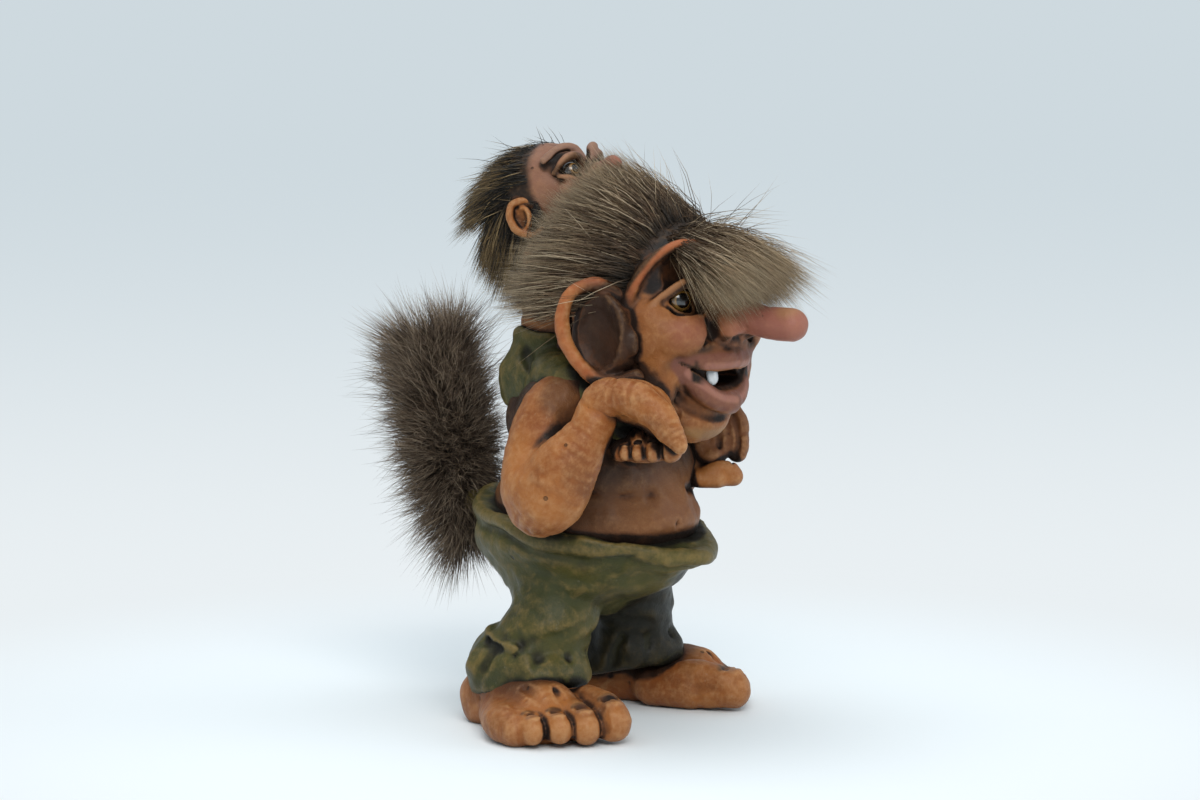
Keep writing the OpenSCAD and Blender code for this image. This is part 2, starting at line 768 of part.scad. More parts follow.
module hair() {
  color(fur_colour) difference() {
    hair_form();
    head_form();
    for (s = [-1, 1]) ear_form(s);
    child_torso_form();
    child_head_form();
    for (s = [-1, 1]) child_ear_form(s);
  }
}

module tail_root() {
  color(trouser_colour) tail_root_form();
}

module tail_fur() {
  color(fur_colour) difference() {
    tail_fur_form();
    tail_root_form(seat_gap);
    trousers_form();
    torso_form();
  }
}

module child_trousers() {
  color(trouser_colour) difference() {
    child_trousers_form();
    torso_form();
    head_form();
    for (s = [-1, 1]) arm_form(s);
    for (s = [-1, 1]) hand_form(s);
    for (s = [-1, 1]) ear_form(s);
    for (s = [-1, 1]) child_foot_form(s);
    child_torso_form();
  }
}

module child_torso() {
  color(skin_colour) difference() {
    child_torso_form();
    head_form();
    child_head_form();
  }
}

module child_foot(s) {
  color(skin_colour) difference() {
    child_foot_form(s);
    head_form();
  }
}

module child_head() {
  color(skin_colour) child_head_form();
}

module child_ear(s) {
  color(skin_colour) difference() {
    child_ear_form(s);
    child_head_form();
  }
}

module child_eye(s) {
  color("black") tilt() side(s) translate(child_eye_at) sphere(d = child_eye_d, $fn = 32);
}

module child_hair() {
  color(child_fur_colour) difference() {
    child_hair_form();
    child_head_form();
    for (s = [-1, 1]) child_ear_form(s);
    child_torso_form();
    hair_dome();
  }
}

module stand() {
  translate([0, set_back, 0]) children();
}

stand() trousers();
stand() torso();
stand() foot(-1);  // right_foot
stand() foot(1);  // left_foot
stand() arm(-1);  // right_arm
stand() arm(1);  // left_arm
stand() hand(-1);  // right_hand
stand() hand(1);  // left_hand
stand() head();
stand() ear(-1);  // right_ear
stand() ear(1);  // left_ear
stand() eye(-1);  // right_eye
stand() eye(1);  // left_eye
stand() tooth();
stand() hair();
stand() tail_root();
stand() tail_fur();
stand() child_trousers();
stand() child_torso();
stand() child_foot(-1);  // child_right_foot
stand() child_foot(1);  // child_left_foot
stand() child_head();
stand() child_ear(-1);  // child_right_ear
stand() child_ear(1);  // child_left_ear
stand() child_eye(-1);  // child_right_eye
stand() child_eye(1);  // child_left_eye
stand() child_hair();
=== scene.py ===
# Folk troll figure with a child on its shoulders: sculpted castings, glass eyes and combed fur.
# Sculpting is done in millimetres in the figure's own frame and written out in metres.
import time
import bpy
import numpy as np
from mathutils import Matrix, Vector


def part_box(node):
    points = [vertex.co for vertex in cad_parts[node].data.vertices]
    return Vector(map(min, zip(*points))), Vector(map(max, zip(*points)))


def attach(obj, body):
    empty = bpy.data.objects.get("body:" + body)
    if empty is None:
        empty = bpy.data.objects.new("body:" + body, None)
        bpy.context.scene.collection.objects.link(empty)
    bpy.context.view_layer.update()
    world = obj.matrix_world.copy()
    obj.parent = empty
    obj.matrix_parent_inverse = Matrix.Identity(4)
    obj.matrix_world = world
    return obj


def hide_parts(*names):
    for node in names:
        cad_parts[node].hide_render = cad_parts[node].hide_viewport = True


startTime = time.time()
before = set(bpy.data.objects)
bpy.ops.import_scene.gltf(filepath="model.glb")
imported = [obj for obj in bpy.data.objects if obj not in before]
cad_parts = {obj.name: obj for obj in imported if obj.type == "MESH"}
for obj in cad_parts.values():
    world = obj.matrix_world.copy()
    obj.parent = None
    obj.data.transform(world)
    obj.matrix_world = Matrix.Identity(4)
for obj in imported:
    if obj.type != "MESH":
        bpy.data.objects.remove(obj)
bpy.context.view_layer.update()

setBack = 3.0           # the figure is sculpted with its neck line at Y = 0, then moved back by this much
f4 = np.float32


def report(words):
    print("%-34s %6.1f s" % (words, time.time() - startTime))


def smooth(a, b, x):
    # 0 below a, 1 above b, and 3t^2 - 2t^3 between them
    t = np.clip((x - a) / (b - a), 0.0, 1.0)
    return t * t * (3 - 2 * t)


def curveThrough(rows, count):
    # Catmull-Rom curve through the rows, read at evenly spaced places
    rows = np.asarray(rows, float)
    n = len(rows) - 1
    u = np.linspace(0, n, count)
    i = np.minimum(u.astype(int), n - 1)
    t = (u - i)[:, None]
    a, b = rows[np.maximum(i - 1, 0)], rows[i]
    c, d = rows[i + 1], rows[np.minimum(i + 2, n)]
    return 0.5 * (2 * b + (c - a) * t + (2 * a - 5 * b + 4 * c - d) * t ** 2 + (3 * b - a - 3 * c + d) * t ** 3)


def latticeNoise(p, size, seed):
    # value noise: random numbers on a lattice of the given size, blended with a quintic curve, -1 to 1
    q = p / size + 1000.0
    i = np.floor(q).astype(np.int64)
    t = (q - i).astype(f4)
    t = t * t * t * (t * (t * 6 - 15) + 10)
    total = np.zeros(len(p), f4)
    for corner in range(8):
        dx, dy, dz = corner & 1, corner >> 1 & 1, corner >> 2 & 1
        h = (i[:, 0] + dx) * 73856093 ^ (i[:, 1] + dy) * 19349663 ^ (i[:, 2] + dz) * 83492791 ^ seed * 2654435
        h = (h ^ h >> 13) * 1274126177 & 0xFFFFFFFF
        h = ((h ^ h >> 16) & 0xFFFF).astype(f4) / 32767.5 - 1
        w = (t[:, 0] if dx else 1 - t[:, 0]) * (t[:, 1] if dy else 1 - t[:, 1]) * (t[:, 2] if dz else 1 - t[:, 2])
        total += h * w
    return total


def cloudNoise(p, size, seed, layers=3):
    # sum of lattice noises, each half the size and 0.55 of the strength of the one before
    total, strength, whole = 0.0, 1.0, 0.0
    for k in range(layers):
        total = total + strength * latticeNoise(p, size * 0.5 ** k, seed + k)
        whole += strength
        strength *= 0.55
    return total / whole


class Clay:
    # Points of space with their distance to the sculpted surface, negative inside.
    # Every tool only touches the points within reach of its own box.
    def __init__(self, points, reach):
        self.p = points.astype(f4)
        self.d = np.full(len(points), reach, f4)
        self.reach = reach

    def near(self, low, high, pad=0.0):
        r = self.reach + pad
        p = self.p
        m = (p[:, 0] > low[0] - r) & (p[:, 0] < high[0] + r)
        m &= (p[:, 1] > low[1] - r) & (p[:, 1] < high[1] + r)
        m &= (p[:, 2] > low[2] - r) & (p[:, 2] < high[2] + r)
        return np.flatnonzero(m)

    def join(self, i, e, k):
        a = self.d[i]
        if k > 0:
            h = np.maximum(k - np.abs(a - e), 0) / k
            self.d[i] = np.minimum(a, e) - h * h * k * 0.25
        else:
            self.d[i] = np.minimum(a, e)

    def cut(self, i, e, k):
        a, e = self.d[i], -e
        if k > 0:
            h = np.maximum(k - np.abs(a - e), 0) / k
            self.d[i] = np.maximum(a, e) + h * h * k * 0.25
        else:
            self.d[i] = np.maximum(a, e)

    def ball(self, c, r, k=2.0, turn=None, carve=False):
        # ellipsoid: |p/r| (|p/r| - 1) / |p/r^2|, turned by (axis, degrees)
        c = np.asarray(c, f4)
        r = np.asarray(r if np.ndim(r) else [r] * 3, f4)
        top = r.max()
        i = self.near(c - top, c + top)
        if not len(i):
            return
        q = self.p[i] - c
        if turn:
            q = q @ turning(*turn)
        k0 = np.linalg.norm(q / r, axis=1)
        k1 = np.linalg.norm(q / (r * r), axis=1) + 1e-9
        e = k0 * (k0 - 1) / k1
        e = np.where(k0 < 1e-3, -r.min(), e)
        (self.cut if carve else self.join)(i, e, k)

    def along(self, rows, steps=None, flat=None, pad=0.0):
        # distance to a tapered tube through rows [x, y, z, radius]; flat = (direction, ratio) thins it one way
        rows = np.asarray(rows, float)
        pts = curveThrough(rows, steps or 4 * (len(rows) - 1) + 1).astype(f4)
        i = self.near(pts[:, :3].min(0) - pts[:, 3].max(), pts[:, :3].max(0) + pts[:, 3].max(), pad)
        if not len(i):
            return i, None
        p = self.p[i]
        out = np.full(len(i), 99.0, f4)
        axis = None
        if flat:
            axis = np.asarray(flat[0], f4)
            axis = axis / np.linalg.norm(axis)
        for a, b in zip(pts[:-1], pts[1:]):
            r = max(a[3], b[3]) + self.reach + pad
            low, high = np.minimum(a, b)[:3] - r, np.maximum(a, b)[:3] + r
            j = np.flatnonzero(((p > low) & (p < high)).all(1))
            if not len(j):
                continue
            way = b[:3] - a[:3]
            q = p[j] - a[:3]
            t = np.clip(q @ way / max(float(way @ way), 1e-9), 0, 1)
            q = q - t[:, None] * way
            if flat:
                q = q + ((q @ axis) * (1 / flat[1] - 1))[:, None] * axis
            e = np.linalg.norm(q, axis=1) - (a[3] + t * (b[3] - a[3]))
            out[j] = np.minimum(out[j], e)
        return i, out

    def tube(self, rows, k=2.0, steps=None, flat=None, carve=False):
        i, e = self.along(rows, steps, flat)
        if e is not None:
            (self.cut if carve else self.join)(i, e, k)

    def crease(self, rows, depth, steps=None):
        # groove along rows [x, y, z, width]: depth * exp(-(distance / width)^2); a negative depth is a fold
        rows = np.asarray(rows, float).copy()
        width = rows[:, 3].mean()
        rows[:, 3] = 0
        i, e = self.along(rows, steps, pad=width)
        if e is not None:
            self.d[i] += (depth * np.exp(-(e / width) ** 2)).astype(f4)

    def stack(self, rows, k=3.0, power=2.0):
        # upright body: at each height an oval [z, x, y, half width, half depth], smooth in between
        rows = np.asarray(rows, float)
        fine = curveThrough(rows, 12 * (len(rows) - 1) + 1)
        low = [(-rows[:, 3] + rows[:, 1]).min(), (rows[:, 2] - rows[:, 4]).min(), rows[:, 0].min()]
        high = [(rows[:, 3] + rows[:, 1]).max(), (rows[:, 2] + rows[:, 4]).max(), rows[:, 0].max()]
        i = self.near(low, high)
        if not len(i):
            return
        p = self.p[i]
        z = p[:, 2]
        x, y, a, b = [np.interp(z, fine[:, 0], fine[:, c]).astype(f4) for c in (1, 2, 3, 4)]
        u, v = np.abs(p[:, 0] - x) / a, np.abs(p[:, 1] - y) / b
        k0 = (u ** power + v ** power) ** (1 / power)
        e = (k0 - 1) * np.minimum(a, b)
        slope = np.clip(np.hypot(u / a, v / b) / (k0 / np.minimum(a, b) + 1e-6), 0.5, 1.0)
        e = e * np.where(k0 > 0.3, slope, 1)
        cap = np.maximum(rows[0, 0] - z, z - rows[-1, 0])
        e = np.where(cap > 0, np.hypot(np.maximum(e, 0), cap), np.maximum(e, cap))
        self.join(i, e.astype(f4), k)

    def under(self, point, normal, k=0.0):
        # keep only the side of a plane that its normal points away from
        n = np.asarray(normal, f4)
        e = (self.p - np.asarray(point, f4)) @ (n / np.linalg.norm(n))
        self.cut(np.arange(len(e)), -e, k)

    def lumps(self, size, strength, seed, layers=2):
        i = np.flatnonzero(np.abs(self.d) < self.reach * 0.98)
        self.d[i] += strength * cloudNoise(self.p[i], size, seed, layers)


def turning(axis, degrees):
    # matrix that turns row vectors back by an angle about an axis
    axis = np.asarray(axis, float) / np.linalg.norm(axis)
    a = np.radians(degrees)
    x, y, z = axis
    cross = np.array([[0, -z, y], [z, 0, -x], [-y, x, 0]])
    full = np.eye(3) + np.sin(a) * cross + (1 - np.cos(a)) * cross @ cross
    return full.astype(f4)


def readGrid(grid, low, step, p):
    # trilinear reading of a grid of distances
    q = (p - low) / step
    top = np.array(grid.shape) - 2
    i = np.clip(np.floor(q).astype(int), 0, top)
    t = np.clip(q - i, 0, 1)
    total = 0.0
    for corner in range(8):
        o = np.array([corner & 1, corner >> 1 & 1, corner >> 2 & 1])
        w = np.where(o, t, 1 - t).prod(1)
        total = total + w * grid[i[:, 0] + o[0], i[:, 1] + o[1], i[:, 2] + o[2]]
    return total


def skinOf(sculpt, low, high, step):
    # Surface of a sculpt: distances on a fine grid near the surface only, then one vertex for each cell
    # that the surface crosses, at the mean of its crossings, and one quad for each crossed grid edge
    low = np.asarray(low, float)
    block, coarse = 8, 8 * step
    shape = np.ceil((np.asarray(high, float) - low) / coarse).astype(int) + 1
    axes = [low[k] + coarse * (np.arange(shape[k]) + 0.5) for k in range(3)]
    centres = np.stack(np.meshgrid(*axes, indexing="ij"), -1).reshape(-1, 3)
    clay = Clay(centres, coarse * 1.6)
    sculpt(clay)
    live = np.flatnonzero(np.abs(clay.d) < coarse * 1.25)
    side = np.sign(clay.d)
    size = shape * block + 1
    grid = np.repeat(np.repeat(np.repeat(side.reshape(shape), block, 0), block, 1), block, 2) * coarse
    grid = np.pad(grid, ((0, 1),) * 3, mode="edge").astype(f4)
    ijk = np.stack(np.unravel_index(live, shape), -1) * block
    o = np.arange(block + 1)
    offset = np.stack(np.meshgrid(o, o, o, indexing="ij"), -1).reshape(-1, 3)
    near = np.zeros(size, bool)
    for k in range(0, len(ijk), 64):
        cells = (ijk[k:k + 64, None] + offset).reshape(-1, 3)
        near[cells[:, 0], cells[:, 1], cells[:, 2]] = True
    cells = np.argwhere(near)
    clay = Clay(low + cells * step, 2.5)
    sculpt(clay)
    grid[cells[:, 0], cells[:, 1], cells[:, 2]] = clay.d
    grid[[0, -1]] = grid[:, [0, -1]] = grid[:, :, [0, -1]] = coarse
    inside = grid < 0
    a, b, c = inside.shape
    count = np.zeros((a - 1, b - 1, c - 1), np.int8)
    for corner in range(8):
        x, y, z = corner & 1, corner >> 1 & 1, corner >> 2 & 1
        count += inside[x:a - 1 + x, y:b - 1 + y, z:c - 1 + z]
    mixed = np.argwhere((count > 0) & (count < 8))
    number = np.full(count.shape, -1, np.int32)
    number[mixed[:, 0], mixed[:, 1], mixed[:, 2]] = np.arange(len(mixed))
    place, hits = np.zeros((len(mixed), 3)), np.zeros(len(mixed))
    ends = [(s, s | 1 << k) for k in range(3) for s in range(8) if not s >> k & 1]
    for s, e in ends:
        so = np.array([s & 1, s >> 1 & 1, s >> 2 & 1])
        eo = np.array([e & 1, e >> 1 & 1, e >> 2 & 1])
        m, n = mixed + so, mixed + eo
        u, v = grid[m[:, 0], m[:, 1], m[:, 2]], grid[n[:, 0], n[:, 1], n[:, 2]]
        on = (u < 0) != (v < 0)
        t = np.where(on, u / np.where(on, u - v, 1), 0)
        place += on[:, None] * (so + t[:, None] * (eo - so))
        hits += on
    verts = low + (mixed + place / hits[:, None]) * step
    quads = []
    for k in range(3):
        u, v = (k + 1) % 3, (k + 2) % 3
        first = [slice(None)] * 3
        first[k] = slice(0, -1)
        then = [slice(None)] * 3
        then[k] = slice(1, None)
        change = inside[tuple(first)] != inside[tuple(then)]
        at = np.argwhere(change)
        at = at[(at[:, u] > 0) & (at[:, v] > 0) & (at[:, u] < inside.shape[u] - 1) & (at[:, v] < inside.shape[v] - 1)]
        du, dv = np.eye(3, dtype=int)[u], np.eye(3, dtype=int)[v]
        ring = [at, at - du, at - du - dv, at - dv]
        q = np.stack([number[r[:, 0], r[:, 1], r[:, 2]] for r in ring], -1)
        out = inside[at[:, 0], at[:, 1], at[:, 2]]
        q = np.where(out[:, None], q, q[:, ::-1])
        quads.append(q)
    quads = np.concatenate(quads)
    return verts, quads[(quads >= 0).all(1)]


def meshNormals(verts, faces):
    # area-weighted vertex normals
    a, b = verts[faces[:, 2]] - verts[faces[:, 0]], verts[faces[:, 3]] - verts[faces[:, 1]]
    n = np.cross(a, b)
    total = np.zeros_like(verts)
    for k in range(4):
        for c in range(3):
            total[:, c] += np.bincount(faces[:, k], n[:, c], len(verts))
    return total / (np.linalg.norm(total, axis=1)[:, None] + 1e-12)


def settle(verts, faces, times):
    # each vertex moves to the mean of its face neighbours, along the surface mostly
    for _ in range(times):
        total, hits = np.zeros_like(verts), np.zeros(len(verts))
        for a, b in ((0, 1), (1, 2), (2, 3), (3, 0)):
            for c in range(3):
                total[:, c] += np.bincount(faces[:, a], verts[faces[:, b], c], len(verts))
                total[:, c] += np.bincount(faces[:, b], verts[faces[:, a], c], len(verts))
            hits += np.bincount(faces[:, a], minlength=len(verts)) + np.bincount(faces[:, b], minlength=len(verts))
        verts = verts + 0.5 * (total / np.maximum(hits, 1)[:, None] - verts)
    return verts


def makeObject(name, verts, faces, material, colours=None, values=None, slot=None, nodes=()):
    mesh = bpy.data.meshes.new(name)
    faces = np.asarray(faces)
    mesh.vertices.add(len(verts))
    shifted = (np.asarray(verts) + [0, setBack, 0]) * 0.001
    mesh.vertices.foreach_set("co", shifted.astype(f4).ravel())
    mesh.loops.add(faces.size)
    mesh.loops.foreach_set("vertex_index", faces.ravel().astype(np.int32))
    mesh.polygons.add(len(faces))
    mesh.polygons.foreach_set("loop_start", np.arange(0, faces.size, faces.shape[1], dtype=np.int32))
    mesh.update(calc_edges=True)
    mesh.polygons.foreach_set("use_smooth", np.ones(len(faces), bool))
    if colours is not None:
        layer = mesh.attributes.new("paint", "FLOAT_COLOR", "POINT")
        layer.data.foreach_set("color", colours.astype(f4).ravel())
    for key, value in (values or {}).items():
        layer = mesh.attributes.new(key, "FLOAT", "POINT")
        layer.data.foreach_set("value", value.astype(f4))
    mesh.materials.append(material)
    obj = bpy.data.objects.new(name, mesh)
    bpy.context.scene.collection.objects.link(obj)
    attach(obj, "root")
    if nodes:
        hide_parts(*nodes)
    return obj


class Wire:
    # one output socket whose value takes part in sums written as Python expressions
    def __init__(self, paint, socket):
        self.paint, self.socket = paint, socket

    def reckon(self, operation, a, b=None, clamp=False):
        return self.paint.add("ShaderNodeMath", dict(operation=operation, use_clamp=clamp),
                              [a] if b is None else [a, b])

    def __add__(self, other): return self.reckon("ADD", self, other)
    def __radd__(self, other): return self.reckon("ADD", other, self)
    def __sub__(self, other): return self.reckon("SUBTRACT", self, other)
    def __rsub__(self, other): return self.reckon("SUBTRACT", other, self)
    def __mul__(self, other): return self.reckon("MULTIPLY", self, other)
    def __rmul__(self, other): return self.reckon("MULTIPLY", other, self)
    def __truediv__(self, other): return self.reckon("DIVIDE", self, other)
    def __pow__(self, other): return self.reckon("POWER", self, other)
    def __gt__(self, other): return self.reckon("GREATER_THAN", self, other)

    def between(self, low, high):
        # 0 at low, 1 at high, eased in between
        return self.paint.add("ShaderNodeMapRange", dict(interpolation_type="SMOOTHSTEP"),
                              {"Value": self, "From Min": low, "From Max": high})


class Paint:
    # a material and its principled shader; add() makes any node from its type, settings and sockets
    def __init__(self, name, **constants):
        self.material = bpy.data.materials.new(name)
        self.material.use_nodes = True
        self.tree = self.material.node_tree
        self.shader = self.tree.nodes["Principled BSDF"]
        for key, value in constants.items():
            self.shader.inputs[key.replace("_", " ")].default_value = value
        self.spot = self.add("ShaderNodeTexCoord", out="Object")

    def add(self, kind, settings=None, inputs=None, out=0):
        node = self.tree.nodes.new(kind)
        for key, value in (settings or {}).items():
            setattr(node, key, value)
        pairs = inputs.items() if isinstance(inputs, dict) else enumerate(inputs or [])
        for key, value in pairs:
            self.put(node.inputs[key], value)
        return Wire(self, node.outputs[out])

    def put(self, socket, value):
        if isinstance(value, Wire):
            self.tree.links.new(value.socket, socket)
        else:
            socket.default_value = value

    def feed(self, **links):
        for key, value in links.items():
            self.put(self.shader.inputs[key.replace("_", " ")], value)
        return self.material

    def noise(self, size, detail=3.0, rough=0.55, at=None, warp=0.0):
        # cloud noise whose blobs are about size metres across
        return self.add("ShaderNodeTexNoise", {}, {"Vector": at or self.spot, "Scale": 1 / size,
                                                   "Detail": detail,
                                                   "Roughness": rough, "Distortion": warp}, "Fac")

    def cells(self, size, at=None, out="Distance"):
        return self.add("ShaderNodeTexVoronoi", {}, {"Vector": at or self.spot, "Scale": 1 / size}, out)

    def value(self, name):
        return self.add("ShaderNodeAttribute", dict(attribute_name=name), out="Fac")

    def mix(self, share, a, b, blend="MIX"):
        node = self.tree.nodes.new("ShaderNodeMix")
        node.data_type, node.blend_type, node.clamp_factor = "RGBA", blend, True
        for key, value in ((0, share), (6, a), (7, b)):
            value = (*value, 1.0) if isinstance(value, tuple) and len(value) == 3 else value
            self.put(node.inputs[key], value)
        return Wire(self, node.outputs[2])

    def bump(self, height, depth, strength=1.0):
        return self.add("ShaderNodeBump", {}, {"Height": height, "Distance": depth, "Strength": strength})


# Antiqued skin: an orange-tan coat, brown wash and painted shade in the hollows and between the castings, pale paint
# dragged over what stands proud
skinLook = dict(base=(0.315, 0.112, 0.028), ruddy=(0.215, 0.064, 0.016), pale=(0.44, 0.225, 0.095),
                wash=(0.016, 0.008, 0.005), grimeAndShade=(0.085, 0.032, 0.013), dust=(0.36, 0.26, 0.17),
                washAndShadeStrength=1.0, dragStrength=0.75, soil=0.42)


def castMaterial(name, look, pitSize=0.0105, sheen=0.42):
    p = Paint(name, Roughness=sheen, Coat_Weight=0.05, Coat_Roughness=0.30, Specular_IOR_Level=0.17)
    hollow, proud = p.value("hollow"), p.value("proud")
    broad, middle, fine = p.noise(0.014, 3), p.noise(0.0045, 4, 0.6, warp=0.4), p.noise(0.0011, 3, 0.65)
    grain = p.noise(0.00042, 2, 0.6)
    coat = p.mix(broad.between(0.36, 0.66), look["base"], look["ruddy"])
    coat = p.mix((middle.between(0.5, 0.74)) * 0.45, coat, look["pale"])
    coat = p.mix(fine.between(0.52, 0.78) * 0.30, coat, look["ruddy"])
    painted = p.add("ShaderNodeAttribute", dict(attribute_name="paint"), out="Color")
    share = p.add("ShaderNodeAttribute", dict(attribute_name="paint"), out="Alpha")
    coat = p.mix(share, coat, painted)
    # painted shade and brown wash darken the hollows and the gaps between castings, deeper where the noise lets it
    washShadeDepth = hollow * (0.65 + 0.7 * middle) * look["washAndShadeStrength"]
    coat = p.mix((washShadeDepth + 0.22 * (fine - 0.5)).between(0.06, 0.42) * 0.85, coat, look["grimeAndShade"])
    coat = p.mix((washShadeDepth + 0.30 * (fine - 0.5)).between(0.30, 0.74), coat, look["wash"])
    soil = p.noise(0.019, 4, 0.62, warp=0.8).between(0.50, 0.72) * (0.55 + 0.9 * fine)
    coat = p.mix(soil * look["soil"], coat, look["grimeAndShade"])
    # dry brushing catches the proud parts and breaks up on the grain
    drag = (proud * (0.55 + 0.9 * fine)).between(0.42, 0.95)
    coat = p.mix(drag * look["dragStrength"] * (1 - 0.8 * share), coat, look["pale"])
    speck = p.noise(0.0026, 2, 0.7).between(0.63, 0.76) * grain.between(0.40, 0.62)
    coat = p.mix(speck * 0.30 * (1 - hollow) * (1 - 0.8 * share), coat, look["dust"])
    # pinholes of the casting
    pit = (p.cells(pitSize) + (broad - 0.5) * 0.10).between(0.062, 0.038)
    coat = p.mix(pit * 0.6, coat, look["wash"])
    height = fine * 0.55 + grain * 0.35 - pit * 1.6
    rough = sheen - 0.10 + 0.30 * middle + 0.20 * hollow
    return p.feed(Base_Color=coat, Roughness=rough, Normal=p.bump(height, 0.00034, 0.9))


clothLook = dict(base=(0.068, 0.060, 0.015), ruddy=(0.040, 0.042, 0.013), pale=(0.205, 0.135, 0.043),
                 wash=(0.008, 0.007, 0.004), grimeAndShade=(0.024, 0.022, 0.009), dust=(0.22, 0.19, 0.13),
                 washAndShadeStrength=1.0, dragStrength=0.62, soil=0.62)
skinMaterial = castMaterial("antiquedSkin", skinLook)
clothMaterial = castMaterial("mossyTrousers", clothLook, 0.0130, 0.38)


# Shared measures of the sculpt, in millimetres
figure = dict(eye=(11, -43.5, 119.3), eyeR=4.2, heel=(21.5, 10), splay=24, foot=(59, 36, 15, 21),
              waistFront=(-42, 51), tilt=10, childHead=(0, 7, 147), childR=13.5, childTip=-18,
              childEye=(5.8, -12.15, 2.7), childEyeR=2.5, childFoot=(24, 20, 8.4, 10), childSplay=58)


def mirrored(rows, s):
    rows = [list(r) for r in rows]
    for r in rows:
        r[0] *= s
    return rows


# Bare foot: heel ball, instep wedge and four toes; l long, w wide, h high, heel at the origin, toes to -Y
toeShare = (0.31, 0.26, 0.225, 0.205)
toeFan = 0.82


def footParts(l, w, h, heel):
    reach = l - heel / 2
    toes = []
    for i in range(4):
        tw = w * toeFan * toeShare[i]
        x = w * (toeFan * (sum(toeShare[:i]) + toeShare[i] / 2) - 0.47)
        tip = reach * (1 - (0, 0.01, 0.045, 0.10)[i])
        th = h * (1, 0.9, 0.84, 0.78)[i]
        toes.append(([[x * 0.88, -0.52 * reach, th * 0.50, tw * 0.46],
                      [x * 0.94, -tip + 0.34 * reach, th * 0.62, tw * 0.52],
                      [x, -tip + 0.21 * reach, th * 0.58, tw * 0.52],
                      [x, -tip + 0.13 * reach, th * 0.50, tw * 0.56],
                      [x, -tip + 0.085 * reach, th * 0.42, tw * 0.54]], tw, th, x, tip))
    return reach, toes


def sculptFoot(clay, place, l, w, h, heel, detail=1.0):
    # place(points) puts the foot's own millimetres into the figure
    reach, toes = footParts(l, w, h, heel)
    k = heel * 0.16
    clay.tube(place([[0, heel * 0.02, h * 0.42, heel * 0.46], [0, -0.18 * reach, h * 0.50, heel * 0.42],
                     [w * 0.02, -0.42 * reach, h * 0.46, w * 0.27],
                     [w * 0.02, -0.62 * reach, h * 0.40, w * 0.27]]), k)
    clay.tube(place([[-w * 0.26, -0.42 * reach, h * 0.36, h * 0.34],
                     [-w * 0.33, -0.66 * reach, h * 0.38, h * 0.38]]), k)
    clay.tube(place([[w * 0.22, -0.30 * reach, h * 0.32, h * 0.32],
                     [w * 0.34, -0.56 * reach, h * 0.34, h * 0.36],
                     [w * 0.33, -0.70 * reach, h * 0.30, h * 0.32]]), k)
    clay.tube(place([[0, -0.14 * reach, h * 0.88, heel * 0.38],
                     [-w * 0.04, -0.42 * reach, h * 0.58, heel * 0.34],
                     [-w * 0.05, -0.62 * reach, h * 0.42, heel * 0.3]]), k)
    for rows, tw, th, x, tip in toes:
        clay.tube(place(rows), tw * 0.10, steps=13)
        # pad of the toe, which makes the small ones taller than they are wide
        clay.tube(place([[x, -tip + 0.22 * reach, th * 0.34, tw * 0.48],
                         [x, -tip + 0.085 * reach, th * 0.34, tw * 0.50]]),
                  tw * 0.16, steps=4)
        # sunk nail bed with a raised lip in front
        up = th * 0.50 + tw * 0.50
        clay.tube(place([[x - tw * 0.16, -tip + 0.125 * reach, up + tw * 0.03, tw * 0.13],
                         [x + tw * 0.16, -tip + 0.125 * reach, up + tw * 0.03, tw * 0.13]]), tw * 0.10, steps=3,
                         carve=True)
        clay.tube(place([[x - tw * 0.20, -tip + 0.075 * reach, up - tw * 0.17, tw * 0.11],
                         [x, -tip + 0.060 * reach, up - tw * 0.14, tw * 0.12],
                         [x + tw * 0.20, -tip + 0.075 * reach, up - tw * 0.17, tw * 0.11]]), tw * 0.10, steps=5)
        # wrinkle over the knuckle and cracks in the tip
        clay.crease(place([[x - tw * 0.36, -tip + 0.235 * reach, th * 0.86, tw * 0.07],
                           [x, -tip + 0.225 * reach, th * 1.10, tw * 0.07],
                           [x + tw * 0.36, -tip + 0.235 * reach, th * 0.86, tw * 0.07]]), 0.4 * detail, steps=5)
    for i in range(3):
        # clefts between the toes run back over the instep
        x = w * (toeFan * sum(toeShare[:i + 1]) - 0.47)
        clay.crease(place([[x, -0.99 * reach, h * 0.15, w * 0.03], [x, -0.97 * reach, h * 0.6, w * 0.03],
                           [x * 0.97, -0.76 * reach, h * 0.86, w * 0.03],
                           [x * 0.9, -0.56 * reach, h * 0.94, w * 0.03]]), 1.5 * detail, steps=9)


def flatTurn(degrees):
    a = np.radians(degrees)
    return np.array([[np.cos(a), -np.sin(a)], [np.sin(a), np.cos(a)]])


def footPlace(s):
    turn = flatTurn(figure["splay"])

    def place(rows):
        rows = np.asarray(rows, float).copy()
        rows[:, :2] = rows[:, :2] @ turn.T + figure["heel"]
        rows[:, 0] *= s
        return rows
    return place


def foot(s):
    place = footPlace(s)

    def sculpt(clay):
        sculptFoot(clay, place, *figure["foot"])
        clay.tube(place([[0, -3, 8, 9.4], [0, -9, 13, 8.6], [0, -13, 21, 6.4]]), 4)
        # creases over the ankle and the side of the heel
        for z, y in ((11.5, -14), (9.5, -20)):
            clay.crease(place([[-9, y + 6, z - 3, 1.0], [0, y, z + 1.5, 1.0], [9, y + 6, z - 3, 1.0]]), 0.5)
        clay.lumps(9, 0.55, 3)
        clay.lumps(2.2, 0.14, 5)
        clay.under([0, 0, 0], [0, 0, -1], 0.6)
    return sculpt


